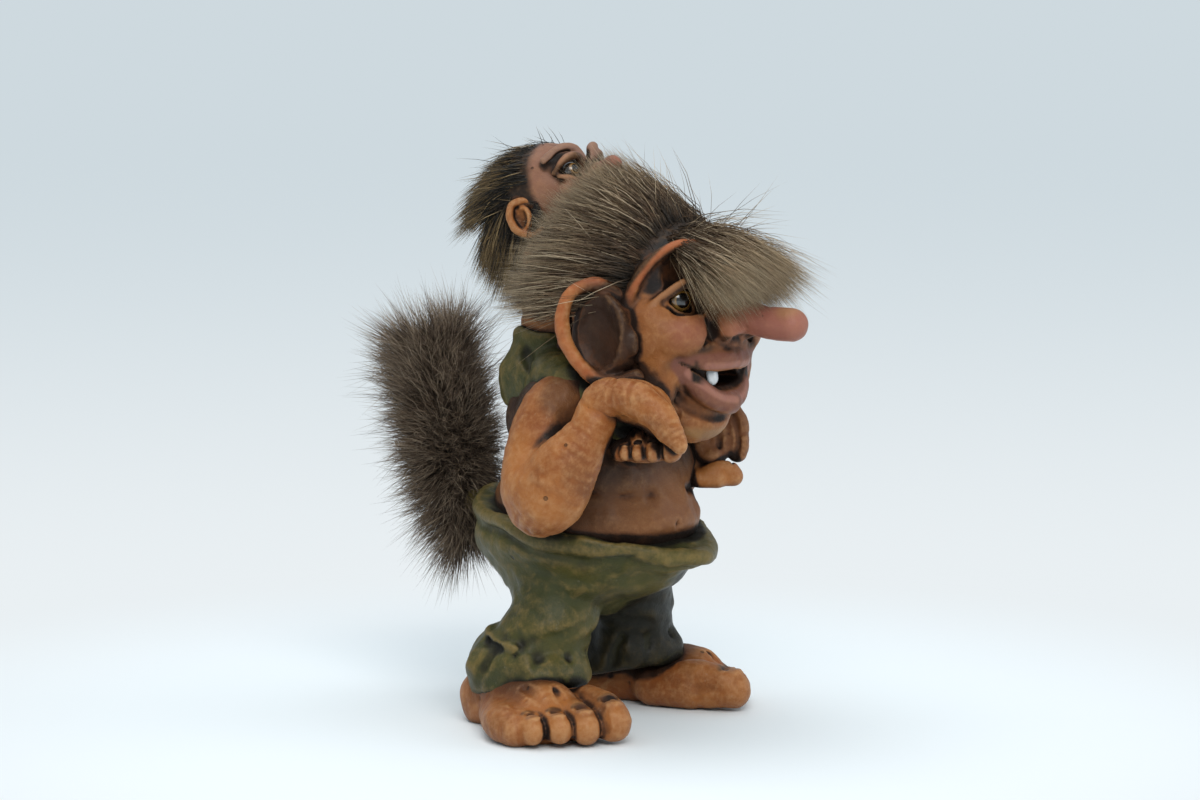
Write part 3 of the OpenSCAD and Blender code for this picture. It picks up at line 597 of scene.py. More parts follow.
def trousersSculpt(clay):
    clay.stack([[29, 0, -5, 12, 8], [33, 0, -5, 17.5, 13], [36, 0, -5.5, 22, 19.5], [39, 0, -7, 24.5, 24],
                [42, 0, -6.4, 26.5, 27], [46, 0, -6.2, 28.5, 30], [51, 0, -6.5, 30.5, 32.5],
                [58, 0, -6.5, 30, 33],
                [66, 0, -4, 28, 30], [74, 0, -2, 24, 26]], 3, 2.1)
    # the front of the waist stands off like the lip of a bag
    clay.ball([0, -34.5, 48.5], [15, 8.5, 5], 6)
    for s in (1, -1):
        clay.tube([[s * 9, -4, 45, 12], [s * 14, -6, 38, 12.2], [s * 18.0, -6.8, 31, 11.9],
                   [s * 20.6, -5.0, 24.5, 12.6],
                   [s * 21.6, -2.0, 17.5, 14.6], [s * 21.6, -0.6, 12.0, 15.2]], 4)
        # cloth bags over the hem at the back and the outer side
        clay.ball([s * 24, 5.5, 17.0], [11.0, 10.0, 7.5], 5)
        clay.ball([s * 23, -10, 15], [11.5, 7.5, 5], 5)
        # gathers behind and beside the knee
        for z, lean, depth in ((28.0, 3.5, 1.2), (23.5, 2.0, 1.3), (32.5, 5.0, 0.8)):
            clay.crease([[s * 33, -6, z - lean, 1.9], [s * 32, 3, z, 1.9], [s * 25, 7.5, z + lean * 0.4, 1.9],
                         [s * 15, 7, z + lean, 1.9]], depth)
            clay.crease([[s * 34, -6, z - lean + 2.6, 1.9], [s * 33, 3, z + 2.6, 1.9],
                         [s * 26, 8, z + 2.6 + lean * 0.4, 1.9],
                         [s * 15, 8, z + 2.6 + lean, 1.9]], -depth * 0.7)
        for z, lean, depth in ((30, 3, 0.9), (25, 1.5, 0.8)):
            clay.crease([[s * 8, -12, z + lean, 1.8], [s * 16, -18.5, z, 1.8], [s * 26, -16, z - lean, 1.8],
                         [s * 32, -8, z - lean * 1.6, 1.8]], depth * 0.8)
        # standing folds that run up from the hem
        for a, depth in ((-150, 1.3), (-118, 1.0), (-80, 1.2), (-42, 0.9), (20, 1.1), (60, 1.2), (100, 1.0)):
            c, q = np.cos(np.radians(a)), np.sin(np.radians(a))
            clay.crease([[s * (22 + 16.5 * c), 1 + 16 * q, 8, 1.7], [s * (22 + 15.6 * c), 16 * q, 14, 1.7],
                         [s * (21.5 + 13 * c), -3 + 13 * q, 21, 1.5]], depth)
        # pull lines from the crotch to the hip
        for k in range(4):
            clay.crease([[s * 3, -18 - 2 * k, 33 + k, 1.5], [s * 14, -26 + 2 * k, 38 + 2.4 * k, 1.5],
                         [s * 26, -18 + 6 * k, 43 + 2.5 * k, 1.5]], 0.5)
        # folded under-edge of the belly roll
        clay.crease([[s * 2, -38, 43, 2.4], [s * 16, -32, 42.5, 2.4], [s * 27, -14, 43.5, 2.4],
                     [s * 29.5, 4, 47, 2.2]], 0.8)
    clay.under([0, 0, 9.6], [0, -0.17, -1], 2.2)
    # rolled waistband
    tilt, (frontY, frontZ) = np.radians(figure["tilt"]), figure["waistFront"]
    clay.under([0, frontY, frontZ], [0, -np.sin(tilt), np.cos(tilt)], 0)
    clay.lumps(15, 1.1, 21)
    clay.lumps(6, 0.6, 23)
    rim = []
    for a in np.linspace(0, 2 * np.pi, 41):
        push = 5.0 * np.exp(-((a - 1.5 * np.pi) / 0.30) ** 2)
        x, y = 30.2 * np.cos(a), -6.8 + (32.6 + push) * np.sin(a)
        z = frontZ + (y - frontY) * np.tan(tilt) - 2.0 + 0.6 * np.sin(5 * a) + 0.4 * np.sin(11 * a + 1)
        rim.append([x, y, z, 2.1 + 0.35 * np.sin(4 * a + 1)])
    clay.tube(rim, 1.5, steps=81)
    rim = np.array(rim)
    rim[:, 2] -= 3.6
    rim[:, 3] = 1.4
    clay.crease(rim, 0.7, steps=61)
    clay.lumps(1.9, 0.14, 25)


def torsoSculpt(clay):
    clay.stack([[42, 0, -6, 20, 18], [48, 0, -7.5, 24.5, 24], [56, 0, -9, 27, 28.4], [64, 0, -7.8, 26.4, 27.4],
                [74, 0, -9, 24.3, 22], [84, 0, -9, 25.6, 20.5], [93, 0, -9, 23.8, 17], [100, 0, -8, 17, 14],
                [106, 0, -8, 12, 12]], 4, 2.1)
    for s in (1, -1):
        clay.tube([[s * 4, -26, 69, 5.5], [s * 13, -25, 71, 7], [s * 20, -18, 76, 6]], 5)
        clay.ball([s * 23, -10, 88], [9, 8.5, 9], 5)
        # folds where the flank bends
        for z, depth in ((66.5, 1.0), (61.5, 0.6)):
            clay.crease([[s * 8, -32.5, z - 1, 1.8], [s * 17, -28, z - 0.5, 1.8], [s * 24, -18, z + 1.5, 1.8],
                         [s * 27.5, -4, z + 4, 1.8], [s * 24, 12, z + 6, 1.8]], depth)
        clay.crease([[s * 2, -31, 72, 1.2], [s * 10, -31, 69.5, 1.2], [s * 19, -25, 71, 1.2]], 0.8)
        # shoulder blades
        clay.ball([s * 12, 7, 84], [7, 4, 9], 4)
        clay.crease([[s * 4, 10, 78, 1.5], [s * 14, 11, 76, 1.5], [s * 22, 6, 79, 1.5]], 0.7)
    clay.crease([[0, 10, 95, 2.0], [0, 13, 80, 2.0], [0, 18, 64, 2.0]], 0.9)
    clay.ball([-2, -38.2, 57.2], [1.0, 1.6, 1.1], 0.7, carve=True)
    clay.lumps(10, 0.8, 41)
    clay.lumps(2.4, 0.16, 43)


# Stations of the near arm, mirrored and lowered for the far one, which is held further back
def armStations(s):
    if s < 0:
        upper = [[-23, -17, 93, 8.0], [-28.5, -15, 88, 8.8], [-33.5, -13.6, 79, 8.6], [-37.5, -15.4, 70, 9.0],
                 [-38.5, -18, 64.5, 8.2]]
        fore = [[-38.5, -20.5, 65.4, 8.6], [-39.6, -23.2, 68, 10.0], [-38.8, -26.8, 74.5, 9.2],
                [-37.0, -31.2, 81.5, 6.9],
                [-35.2, -33.6, 86.5, 5.8], [-33.4, -35.0, 92.5, 5.4], [-33, -37.5, 94.4, 5.2]]
        tips = [[-33.2, -36, 93.2, 5.3], [-33.2, -40.5, 94.8, 5.0], [-33.2, -46.5, 94.4, 4.9],
                [-32.4, -52.2, 91.3, 4.5],
                [-31.8, -56.4, 86.6, 3.8], [-31.4, -59.4, 82.8, 2.3]]
    else:
        upper = [[23, -15, 93, 8.0], [29, -10, 88, 8.8], [33, -6, 79, 8.4], [35.5, -4.4, 70, 8.6],
                 [35.2, -6, 64.5, 7.8]]
        fore = [[35.0, -6.5, 65.0, 8.0], [34.5, -9.5, 67.2, 8.8], [32.4, -14.4, 72.0, 7.8],
                [29.6, -19.2, 77.0, 6.2],
                [27.4, -22.8, 80.8, 5.7], [26.4, -25.4, 83.0, 5.4]]
        tips = [[27.0, -22.5, 82.0, 5.3], [27.4, -26.5, 85.0, 5.0], [27.4, -31.5, 85.6, 4.8],
                [26.8, -35.8, 82.6, 4.4],
                [26.2, -38.0, 78.0, 3.8], [25.6, -38.6, 74.2, 2.6]]
    return np.array(upper, float), np.array(fore, float), np.array(tips, float)


def armSculpt(s):
    upper, fore = armStations(s)[:2]

    def sculpt(clay):
        clay.tube(upper, 3)
        clay.tube(fore, 2.0, steps=21)
        # the forearm folds tightly up against the upper arm
        a, b, c = upper[3][:3], upper[2][:3], upper[1][:3]
        f, g, h = fore[1][:3], fore[2][:3], fore[3][:3]
        out = np.array([s * 5.5, -1.5, 0])
        clay.crease([[*((a + f) / 2 + out + [0, 2, -3]), 1.5], [*((a + g) / 2 + out + [0, 1, 1]), 1.6],
                     [*((b + h) / 2 + out), 1.8],
                     [*((c + h) / 2 + out + [0, -2, 3]), 2.0]], 1.7, steps=17)
        # worn dimples and wrinkles of the elbow
        e = fore[0][:3]
        for t in (-1.0, 0.2, 1.4):
            clay.crease([[*(e + [s * 9.4, -3 + 3 * t, -3 + t]), 0.9],
                         [*(e + [s * 6, 1 + 3 * t, -7 + 1.2 * t]), 0.9],
                         [*(e + [s * -2, 2 + 3 * t, -8 + t]), 0.9]], 0.35)
        for k in (3, 4, 5):
            m, r = fore[k][:3], fore[k][3]
            clay.crease([[*(m + [s * r * 0.9, -2.4, -2]), 0.8], [*(m + [s * r, 1.0, 0]), 0.8],
                         [*(m + [s * r * 0.5, r * 0.9, 2]), 0.8]], 0.35)
        clay.lumps(8, 0.6, 51 + s)
        clay.lumps(2.2, 0.14, 53)
    return sculpt


def handSculpt(s):
    tips = armStations(s)[2]
    inward, outward = np.array([1.0, 3.4, 4.8, 4.9, 4.6, 4.2]), np.array([0, 0.6, 2.0, 3.0, 3.4, 3.4])

    def sculpt(clay):
        # the outer finger hides the other two, which lie a little further out and higher
        for i in range(3):
            finger = tips.copy()
            finger[:, 0] -= s * inward * i
            finger[:, 1] += outward * i
            finger[1:, 2] += (0.9, 0.9, 0.5)[i] - 0.9
            finger[:, 3] *= (1, 0.92, 0.84)[i]
            clay.tube(finger, 1.6 if i == 0 else 1.2, steps=21)
            q = finger[4][:3] + [0, -finger[4][3] * 0.8, -1.0]
            clay.crease([[*(q + [-2.4, 0.6, 2.6]), 0.5], [*(q + [0, -0.6, 3.0]), 0.5],
                         [*(q + [2.4, 0.6, 2.6]), 0.5]], 0.4, steps=5)
        # grooves between the fingers
        for i in range(2):
            row = tips.copy()
            row[:, 0] -= s * (inward * (i + 0.5))
            row[:, 1] += outward * (i + 0.5)
            row[:, 2] += tips[:, 3] * np.array([1, 1, 0.9, 0.5, 0.0, -0.3])
            row[:, 1] -= tips[:, 3] * np.array([0, 0, 0.35, 0.85, 1.0, 0.9])
            row[:, 3] = 0.9
            clay.crease(row[1:], 1.3, steps=17)
        # thumb lies along the inner side and closes on the foot
        w = tips[0][:3]
        clay.tube([[*(w + [-4 * s, -2, -1]), 4.4], [*(w + [-8 * s, -7, -4]), 3.8],
                   [*(w + [-9 * s, -12, -8]), 3.0]], 2)
        for k, t in ((1, 0.0), (2, 0.4)):
            m, r = tips[k][:3], tips[k][3]
            clay.crease([[*(m + [s * r, -1, -1]), 0.8], [*(m + [s * r * 0.8, -0.6, r * 0.7]), 0.8],
                         [*(m + [0, 0, r]), 0.8]], 0.35)
        clay.lumps(6, 0.5, 61 + s)
        clay.lumps(2.0, 0.14, 63)
    return sculpt


def childFootPlace(s):
    heel = np.array([-15.5, -38, 77]) if s < 0 else np.array([10.5, -25, 65.0])
    turn = flatTurn(figure["childSplay"])

    def place(rows):
        rows = np.asarray(rows, float).copy()
        rows[:, :2] = rows[:, :2] @ turn.T
        rows[:, 0] *= s
        rows[:, :3] += heel
        return rows
    return place


def childFoot(s):
    place = childFootPlace(s)

    def sculpt(clay):
        sculptFoot(clay, place, *figure["childFoot"], detail=0.6)
        clay.tube(place([[0, -1, 4, 4.6], [0, 3, 8, 4.2]]), 2)
        clay.lumps(5, 0.35, 71)
        clay.under(place([[0, 0, 0, 0]])[0][:3], [0, 0, -1], 0.5)
    return sculpt


def headSculpt(clay):
    clay.ball([0, -28.5, 118], [22.6, 23.5, 20.5], 4)
    clay.ball([0, -36, 106], [20.5, 18.5, 17], 6)
    clay.ball([0, -24, 104], [19, 16, 15], 6)
    clay.ball([0, -43.2, 88.2], [9.0, 6.4, 7.0], 5)
    clay.ball([0, -34, 128], [18.5, 15.5, 10.5], 5)
    for s in (1, -1):
        m = lambda rows: mirrored(rows, s)
        clay.tube(m([[2, -42, 88, 6], [10, -38, 91, 6.5], [17.5, -29, 98, 6]]), 5)
        # cheek, pushed up by the smile
        clay.ball([s * 13.6, -46.6, 110.6], [7.2, 6.8, 6.4], 3)
        clay.ball([s * 18.5, -40.5, 110], [5.5, 7, 7.5], 4)
        clay.ball([s * 17.0, -41.5, 98], [4.6, 6, 7.5], 4)
        # eye hollow and the tall arch over it
        clay.ball([s * 11.6, -47.2, 119.6], [6.6, 5.4, 5.0], 1.6, carve=True)
        clay.ball([s * 12.6, -47.2, 127.4], [6.6, 5.2, 6.4], 1.6, carve=True)
        clay.tube(m([[5.0, -50.5, 124.5, 1.9], [6.5, -51.0, 130.5, 1.7], [10.5, -48.8, 134.2, 1.5],
                     [15.5, -44.8, 133.6, 1.4],
                     [19.4, -40.2, 129.0, 1.5], [21.4, -36.6, 122.5, 1.6], [22.0, -34.4, 117.5, 1.6]]), 1.4)
        # lids wrap the glass eye
        ex, ey, ez = figure["eye"]
        ex *= s
        upper = [[ex + s * a, ey - 4.7 * b, ez + h, w] for a, b, h, w in
                 ((-5.0, 0.42, 0.1, 0.7), (-3.0, 0.82, 3.0, 0.8), (0, 0.94, 4.1, 0.8), (3.4, 0.72, 3.2, 0.8),
                  (6.0, 0.18, 0.2, 0.7))]
        lower = [[ex + s * a, ey - 4.7 * b, ez + h, w] for a, b, h, w in
                 ((-5.0, 0.42, -1.0, 0.7), (-3.0, 0.80, -3.4, 0.8), (0, 0.88, -4.2, 0.9),
                  (3.4, 0.64, -3.3, 0.8), (6.0, 0.18, -0.4, 0.7))]
        clay.tube(upper, 0.6, steps=17)
        clay.tube(lower, 0.8, steps=17)
        # slack fold of the upper lid that hangs from the arch to the outer corner
        clay.tube(m([[10.5, -49.2, 125.4, 0.6], [13.0, -48.2, 124.9, 0.9], [16.0, -45.8, 122.7, 1.1],
                     [18.8, -42.4, 119.2, 1.1],
                     [20.4, -40.2, 116.0, 1.0]]), 0.9, steps=17)
        for dz, dy, depth in ((-2.5, 0.8, 0.5), (-4.3, 1.0, 0.4), (-6.0, 1.0, 0.3)):
            clay.crease([[x * (1 - 0.03 * dz / 3), y + dy, z + dz, 0.7] for x, y, z, w in lower], depth,
                        steps=13)
        # crow's feet
        for dz in (2.2, 0.0, -2.4):
            clay.crease(m([[17.4, -42.2, 116.3 + dz * 0.5, 0.6], [20.0, -39.0, 115.3 + dz * 1.2, 0.6],
                           [22.2, -34.0, 113.3 + dz * 1.8, 0.6]]), 0.45)
        # nose wing and nostril
        clay.ball([s * 4.7, -55.4, 112.6], [3.3, 4.8, 4.0], 1.4)
        clay.ball([s * 3.4, -58.4, 108.9], [1.8, 2.6, 1.7], 0.8, carve=True)
        clay.crease(m([[3.4, -61.0, 114.4, 0.8], [6.8, -56.5, 117.0, 0.8], [8.6, -52.4, 113.8, 0.9],
                       [7.6, -52.4, 109.2, 0.9]]), 1.0)
        # fold from the wing round the mouth
        clay.crease(m([[8.4, -53.4, 110.0, 1.2], [12.6, -51.0, 107.2, 1.2], [17.2, -46.2, 104.4, 1.2],
                       [19.2, -43.2, 99.2, 1.2], [17.6, -43.6, 92.8, 1.1], [13, -44.5, 87.6, 1.0]]), 1.2)
        clay.crease(m([[20.8, -41.0, 106.0, 1.0], [21.4, -38.0, 100.0, 1.0], [19.4, -36.5, 94.5, 1.0]]), 0.7)
        # lips
        clay.tube(m([[-1, -53.9, 103.3, 2.5], [5, -53.3, 103.1, 2.5], [10, -50.8, 103.1, 2.1],
                     [15.6, -46.2, 104.2, 1.2]]), 1.4)
        clay.tube(m([[-1, -52.8, 91.5, 3.0], [5, -52.0, 92.6, 2.9], [10.2, -49.6, 96.2, 2.5],
                     [15.6, -45.9, 102.4, 1.3]]), 1.4)
        clay.tube(m([[-1, -53.8, 97.7, 2.6], [4.5, -53.2, 98.0, 2.3], [8.5, -51.8, 99.6, 1.4],
                     [12.5, -49.6, 101.7, 0.8],
                     [16.4, -47.0, 103.9, 0.55]]), 0.4, steps=21, carve=True)
        # chin, jaw and throat folds
        clay.crease(m([[0, -50.8, 87.3, 1.2], [6, -49.8, 88.0, 1.2], [11.5, -46.2, 91.4, 1.2],
                       [15.6, -44.6, 96.6, 1.2], [17.4, -44.6, 102.6, 1.1]]), 1.3)
        clay.crease(m([[3, -44.5, 82.4, 1.2], [10, -41.5, 85.0, 1.2], [16.5, -35, 90.5, 1.2],
                       [19.5, -28, 97, 1.2]]), 0.7)
    clay.ball([0, -48.0, 98.2], [8.6, 6.2, 3.0], 0.6, carve=True)
    # nose: a straight, nearly even roll with a blunt tip
    clay.tube([[0, -44, 121.0, 5.8], [0, -51, 119.2, 5.2], [0, -57.5, 115.8, 4.7], [0, -64, 113.8, 4.45],
               [0, -69.0, 113.3, 4.5], [0, -73.4, 113.2, 4.5]], 2.4)
    clay.crease([[-5, -51.5, 123.6, 0.8], [0, -53.8, 124.4, 0.8], [5, -51.5, 123.6, 0.8]], 0.6)
    # groove under the nose
    clay.crease([[0, -57.5, 108.0, 1.1], [0, -57.0, 105.4, 1.1]], 0.6, steps=4)
    clay.ball([-18.4, -46.4, 107.3], [1.2, 1.2, 1.2], 0.8)
    clay.lumps(8, 0.45, 81)
    clay.lumps(2.0, 0.15, 83)


def earSculpt(s):
    m = lambda rows: mirrored(rows, s)

    def sculpt(clay):
        clay.ball([s * 26.6, -29.5, 109.5], [3.4, 9.0, 12.5], 2)
        clay.ball([s * 22.5, -33, 109], [5, 6, 10], 3)
        clay.ball([s * 31.2, -31.0, 110.8], [5.6, 7.6, 11.0], 1.2, carve=True)
        clay.tube(m([[22.0, -33.5, 120.5, 1.7], [27.5, -29.5, 123.8, 1.8], [31.8, -24.2, 121.6, 1.9],
                     [33.6, -22.2, 115.5, 2.0],
                     [33.4, -23.2, 108.6, 2.0], [31.4, -26.8, 102.2, 2.0], [28.8, -31.2, 98.2, 2.3],
                     [26.6, -35.6, 97.4, 2.6], [24.2, -39.8, 99.2, 2.2]]), 0.9)
        # the little flap by the cheek
        clay.ball([s * 24.6, -38.4, 108.5], [2.0, 2.6, 3.6], 1.2)
        clay.crease(m([[28.5, -31.5, 119.0, 1.1], [29.5, -29.6, 112, 1.1], [28.6, -31.5, 105, 1.1]]), 0.9)
        clay.lumps(5, 0.4, 91 + s)
        clay.lumps(1.8, 0.14, 93)
    return sculpt


def childTrousersSculpt(clay):
    clay.ball([0, 4.5, 97], [16.4, 13.6, 13.6], 4)
    clay.ball([0, 4, 104], [13.4, 11.6, 8.0], 4)
    for s in (1, -1):
        clay.ball([s * 7.5, 9.5, 93.5], [8.5, 8.0, 9.5], 4)
        heel = childFootPlace(s)([[0, 0, 0, 1]])[0][:3]
        knee = (np.array([s * 23, -22, 92.5]) + heel + [0, 2, 5]) / 2
        clay.tube([[s * 10, 1, 95, 8], [s * 19, -9, 97.5, 7.2], [s * 22.5, -18, 94.5, 6.4], [*knee, 5.8],
                   [*(heel + [0, 1, 8]), 4.8]], 4)
        for u in (0.0, 0.5, 1.0):
            clay.crease([[s * (13 + 4 * u), 6 - 3 * u, 104 - 2 * u, 1.6],
                         [s * (17 + 4 * u), 1 - 5 * u, 98 - u, 1.6],
                         [s * (14 + 4 * u), -2 - 5 * u, 90, 1.6]], 0.9)
        clay.crease([[s * 2, 15.5, 97, 1.5], [s * 9, 16.5, 89.5, 1.5], [s * 15, 10, 86, 1.5]], 0.6)
    clay.crease([[0, 17.5, 104, 1.4], [0, 18.5, 95, 1.5], [0, 14, 85, 1.4]], 1.0)
    clay.under([0, 5, 108.6], [0, -0.08, 1], 0.8)
    rim = [[12.2 * np.cos(a), 4.4 + 10.6 * np.sin(a), 107.4 + 0.5 * np.sin(3 * a),
            1.7] for a in np.linspace(0, 2 * np.pi, 25)]
    clay.tube(rim, 1.3, steps=49)
    clay.lumps(9, 0.9, 101)
    clay.lumps(2.2, 0.15, 103)


def childTorsoSculpt(clay):
    clay.stack([[101, 0, 4, 10, 9], [108, 0, 4.2, 11.8, 10.8], [118, 0, 5, 12.0, 10.6], [128, 0, 5, 10.8, 9.4],
                [135, 0, 5, 8, 7.5], [141, 0, 5.5, 6, 6]], 3)
    for s in (1, -1):
        clay.tube([[s * 10.0, 4, 130, 4.8], [s * 14.2, -3.5, 124.5, 4.0], [s * 12.4, -12.5, 121.5, 3.5]], 2)
        clay.tube([[s * 12.4, -12.5, 121.5, 3.4], [s * 9.5, -16.5, 122.5, 2.8]], 1.5)
    for z in (112.5, 116.5):
        clay.crease([[-11.6, 1, z, 1.1], [-8, 12, z + 1, 1.1], [0, 15.5, z + 0.6, 1.1], [8, 12, z + 1, 1.1],
                     [11.6, 1, z, 1.1]], 0.8, steps=13)
    clay.lumps(7, 0.5, 111)
    clay.lumps(1.9, 0.14, 113)


def tipped(rows):
    # the child's head is shaped about the origin and then tipped back into its place
    a = np.radians(figure["childTip"])
    rows = np.asarray(rows, float).copy()
    y, z = rows[:, 1].copy(), rows[:, 2].copy()
    rows[:, 1] = y * np.cos(a) - z * np.sin(a)
    rows[:, 2] = y * np.sin(a) + z * np.cos(a)
    rows[:, :3] += figure["childHead"]
    return rows


def childHeadSculpt(clay):
    r = figure["childR"]
    turn = ((1, 0, 0), figure["childTip"])
    at = lambda x, y, z: tipped([[x, y, z]])[0]
    clay.ball(at(0, 1, 0.5), [r, r * 1.05, r * 1.02], 2, turn=turn)
    clay.ball(at(0, -r * 0.62, -r * 0.5), [r * 0.66, r * 0.55, r * 0.46], 3, turn=turn)
    clay.ball(at(0, -r * 0.7, -r * 0.86), [4.2, 3.6, 3.2], 2.5)
    clay.tube(tipped([[0, -10.5, 2.8, 2.8], [0, -15, 1.4, 2.4], [0, -19.6, 1.2, 2.2], [0, -22.6, 1.4, 2.5]]),
              1.6)
    for s in (1, -1):
        m = lambda rows: tipped(mirrored(rows, s))
        clay.ball(at(s * 6.4, -11.2, -3.0), [3.7, 3.4, 3.5], 2)
        clay.ball(at(s * 1.9, -15.2, 0.2), [1.5, 2.0, 1.6], 0.8)
        clay.ball(at(s * 5.8, -13.6, 3.1), [3.6, 3.0, 3.2], 1.0, carve=True)
        clay.tube(m([[2.2, -13.6, 2.6, 0.9], [3.4, -14.4, 5.6, 1.1], [5.8, -14.5, 6.6, 1.2],
                     [8.6, -12.4, 5.6, 1.1], [9.8, -9.6, 3.0, 0.9]]), 0.7, steps=17)
        clay.tube(m([[2.6, -13.6, 2.0, 0.8], [4.0, -14.4, 0.0, 0.9], [6.6, -13.9, -0.2, 0.9],
                     [9.2, -10.6, 1.8, 0.8]]), 0.7, steps=13)
        clay.tube(m([[1.8, -14.2, 5.0, 1.3], [3.6, -14.2, 8.4, 1.3], [7.6, -12.0, 9.4, 1.3],
                     [11, -8.0, 7.0, 1.2]]), 1.2)
        clay.tube(m([[0, -14.6, -5.2, 1.4], [3.5, -14.0, -4.9, 1.3], [6.6, -11.6, -3.9, 0.8]]), 0.6)
        clay.tube(m([[0, -13.8, -8.3, 1.4], [3.5, -13.2, -7.7, 1.3], [6.6, -11.2, -5.0, 0.8]]), 0.6)
        clay.crease(m([[0, -15, -6.8, 0.8], [3.5, -14.4, -6.4, 0.8], [6.6, -12.2, -4.6, 0.7]]), 1.4)
        clay.crease(m([[8.4, -11.4, -6.4, 0.8], [8.8, -11.2, -2.4, 0.8], [5, -14, 0.4, 0.7]]), 0.6)
    clay.lumps(5, 0.35, 121)
    clay.lumps(1.7, 0.13, 123)


def childEarSculpt(s):
    def sculpt(clay):
        m = lambda rows: tipped(mirrored(rows, s))
        clay.ball(tipped([[s * 13.4, 2.2, -7.0]])[0], [1.8, 3.2, 4.2], 1.5)
        clay.ball(tipped([[s * 15.6, 1.8, -6.6]])[0], [2.0, 2.3, 3.2], 0.8, carve=True)
        clay.tube(m([[11.4, -0.8, -3.4, 1.0], [13.2, 0.8, -1.8, 1.1], [15.0, 3.6, -2.4, 1.2],
                     [15.8, 4.6, -5.8, 1.2],
                     [15.0, 3.8, -9.4, 1.2], [13.0, 0.8, -11.8, 1.2], [11.4, -1.4, -10.8, 1.0]]), 0.6)
        clay.lumps(1.8, 0.12, 131)
    return sculpt


def tailRootSculpt(clay):
    # a short stub that shows through the fur
    clay.tube([[0, 18, 48.5, 5.4], [0, 24, 52.0, 5.1], [0, 34, 57.4, 4.6]], 1)
    clay.lumps(2.0, 0.15, 133)


def boxOf(node, pad):
    low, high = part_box(node)
    return (np.array(low) * 1000 - [0, setBack, 0] - pad, np.array(high) * 1000 - [0, setBack, 0] + pad)


# Each casting: the node that it replaces, its sculpt, the step of its grid, and its material and slot
skin, cloth = (skinMaterial, "skin_paint"), (clothMaterial, "trouser_paint")
castings = [
    ("trousers", trousersSculpt, 0.66, cloth),
    ("torso", torsoSculpt, 0.68, skin),
    ("right_foot", foot(-1), 0.46, skin),
    ("left_foot", foot(1), 0.46, skin),
    ("right_arm", armSculpt(-1), 0.48, skin),
    ("left_arm", armSculpt(1), 0.52, skin),
    ("right_hand", handSculpt(-1), 0.38, skin),
    ("left_hand", handSculpt(1), 0.38, skin),
    ("head", headSculpt, 0.46, skin),
    ("right_ear", earSculpt(-1), 0.33, skin),
    ("left_ear", earSculpt(1), 0.36, skin),
    ("tail_root", tailRootSculpt, 0.45, cloth),
    ("child_trousers", childTrousersSculpt, 0.56, cloth),
    ("child_torso", childTorsoSculpt, 0.52, skin),
    ("child_right_foot", childFoot(-1), 0.30, skin),
    ("child_left_foot", childFoot(1), 0.32, skin),
    ("child_head", childHeadSculpt, 0.35, skin),
    ("child_right_ear", childEarSculpt(-1), 0.25, skin),
    ("child_left_ear", childEarSculpt(1), 0.26, skin),
]

# One coarse grid of the whole figure tells how far any point is from the nearest casting
wholeLow, wholeStep = np.array([-62.0, -86.0, -4.0]), 1.25
wholeShape = np.ceil(np.array([124, 178, 176]) / wholeStep).astype(int)
wholeGrid = np.full(wholeShape, 12.0, f4)
for node, sculpt, step, paint in castings:
    low, high = boxOf(node, 10)
    a = np.maximum(np.floor((low - wholeLow) / wholeStep).astype(int), 0)
    b = np.minimum(np.ceil((high - wholeLow) / wholeStep).astype(int), wholeShape)
    axes = [wholeLow[k] + wholeStep * np.arange(a[k], b[k]) for k in range(3)]
    clay = Clay(np.stack(np.meshgrid(*axes, indexing="ij"), -1).reshape(-1, 3), 8.0)
    sculpt(clay)
    part = wholeGrid[a[0]:b[0], a[1]:b[1], a[2]:b[2]]
    np.minimum(part, clay.d.reshape(part.shape), out=part)
report("whole figure measured")


def shut(verts, normals):
    # how shut in a place is: 1 - distance / reach at four reaches along the normal; it is painted into the colour as
    # shade in the hollows and between castings
    total = 0.0
    for reach, share in ((1.6, 0.22), (3.0, 0.30), (5.0, 0.28), (7.5, 0.20)):
        d = readGrid(wholeGrid, wholeLow, wholeStep, verts + normals * reach)
        total = total + share * np.clip((reach - d) / reach, 0, 1)
    return total


def nearTo(p, rows, inner, outer, steps=None):
    # 1 within inner of the curve through rows, fading to 0 at outer
    pts = curveThrough(rows, steps or 4 * (len(rows) - 1) + 1)[:, :3]
    best = np.full(len(p), 1e9)
    low, high = pts.min(0) - outer, pts.max(0) + outer
    j = np.flatnonzero(((p > low) & (p < high)).all(1))
    q = p[j]
    for a, b in zip(pts[:-1], pts[1:]):
        w = b - a
        t = np.clip((q - a) @ w / max(w @ w, 1e-9), 0, 1)
        best[j] = np.minimum(best[j], np.linalg.norm(q - a - t[:, None] * w, axis=1))
    return 1 - smooth(inner, outer, best)


class Brush:
    # tints laid over a casting: each stroke mixes one in by a share from 0 to 1, and line() by its nearness to a curve
    def __init__(self, verts, normals):
        self.p, self.n = verts, normals
        self.rgb = np.zeros((len(verts), 3))
        self.a = np.zeros(len(verts))

    def stroke(self, share, tint):
        share = np.clip(share, 0, 1) * np.ones(len(self.p))
        left = self.a * (1 - share)
        total = np.maximum(left + share, 1e-6)
        self.rgb = (self.rgb * left[:, None] + np.array(tints[tint]) * share[:, None]) / total[:, None]
        self.a = left + share

    def line(self, share, rows, inner, outer, tint, steps=None):
        self.stroke(share * nearTo(self.p, rows, inner, outer, steps), tint)

    def colours(self):
        return np.concatenate([self.rgb, self.a[:, None]], 1)


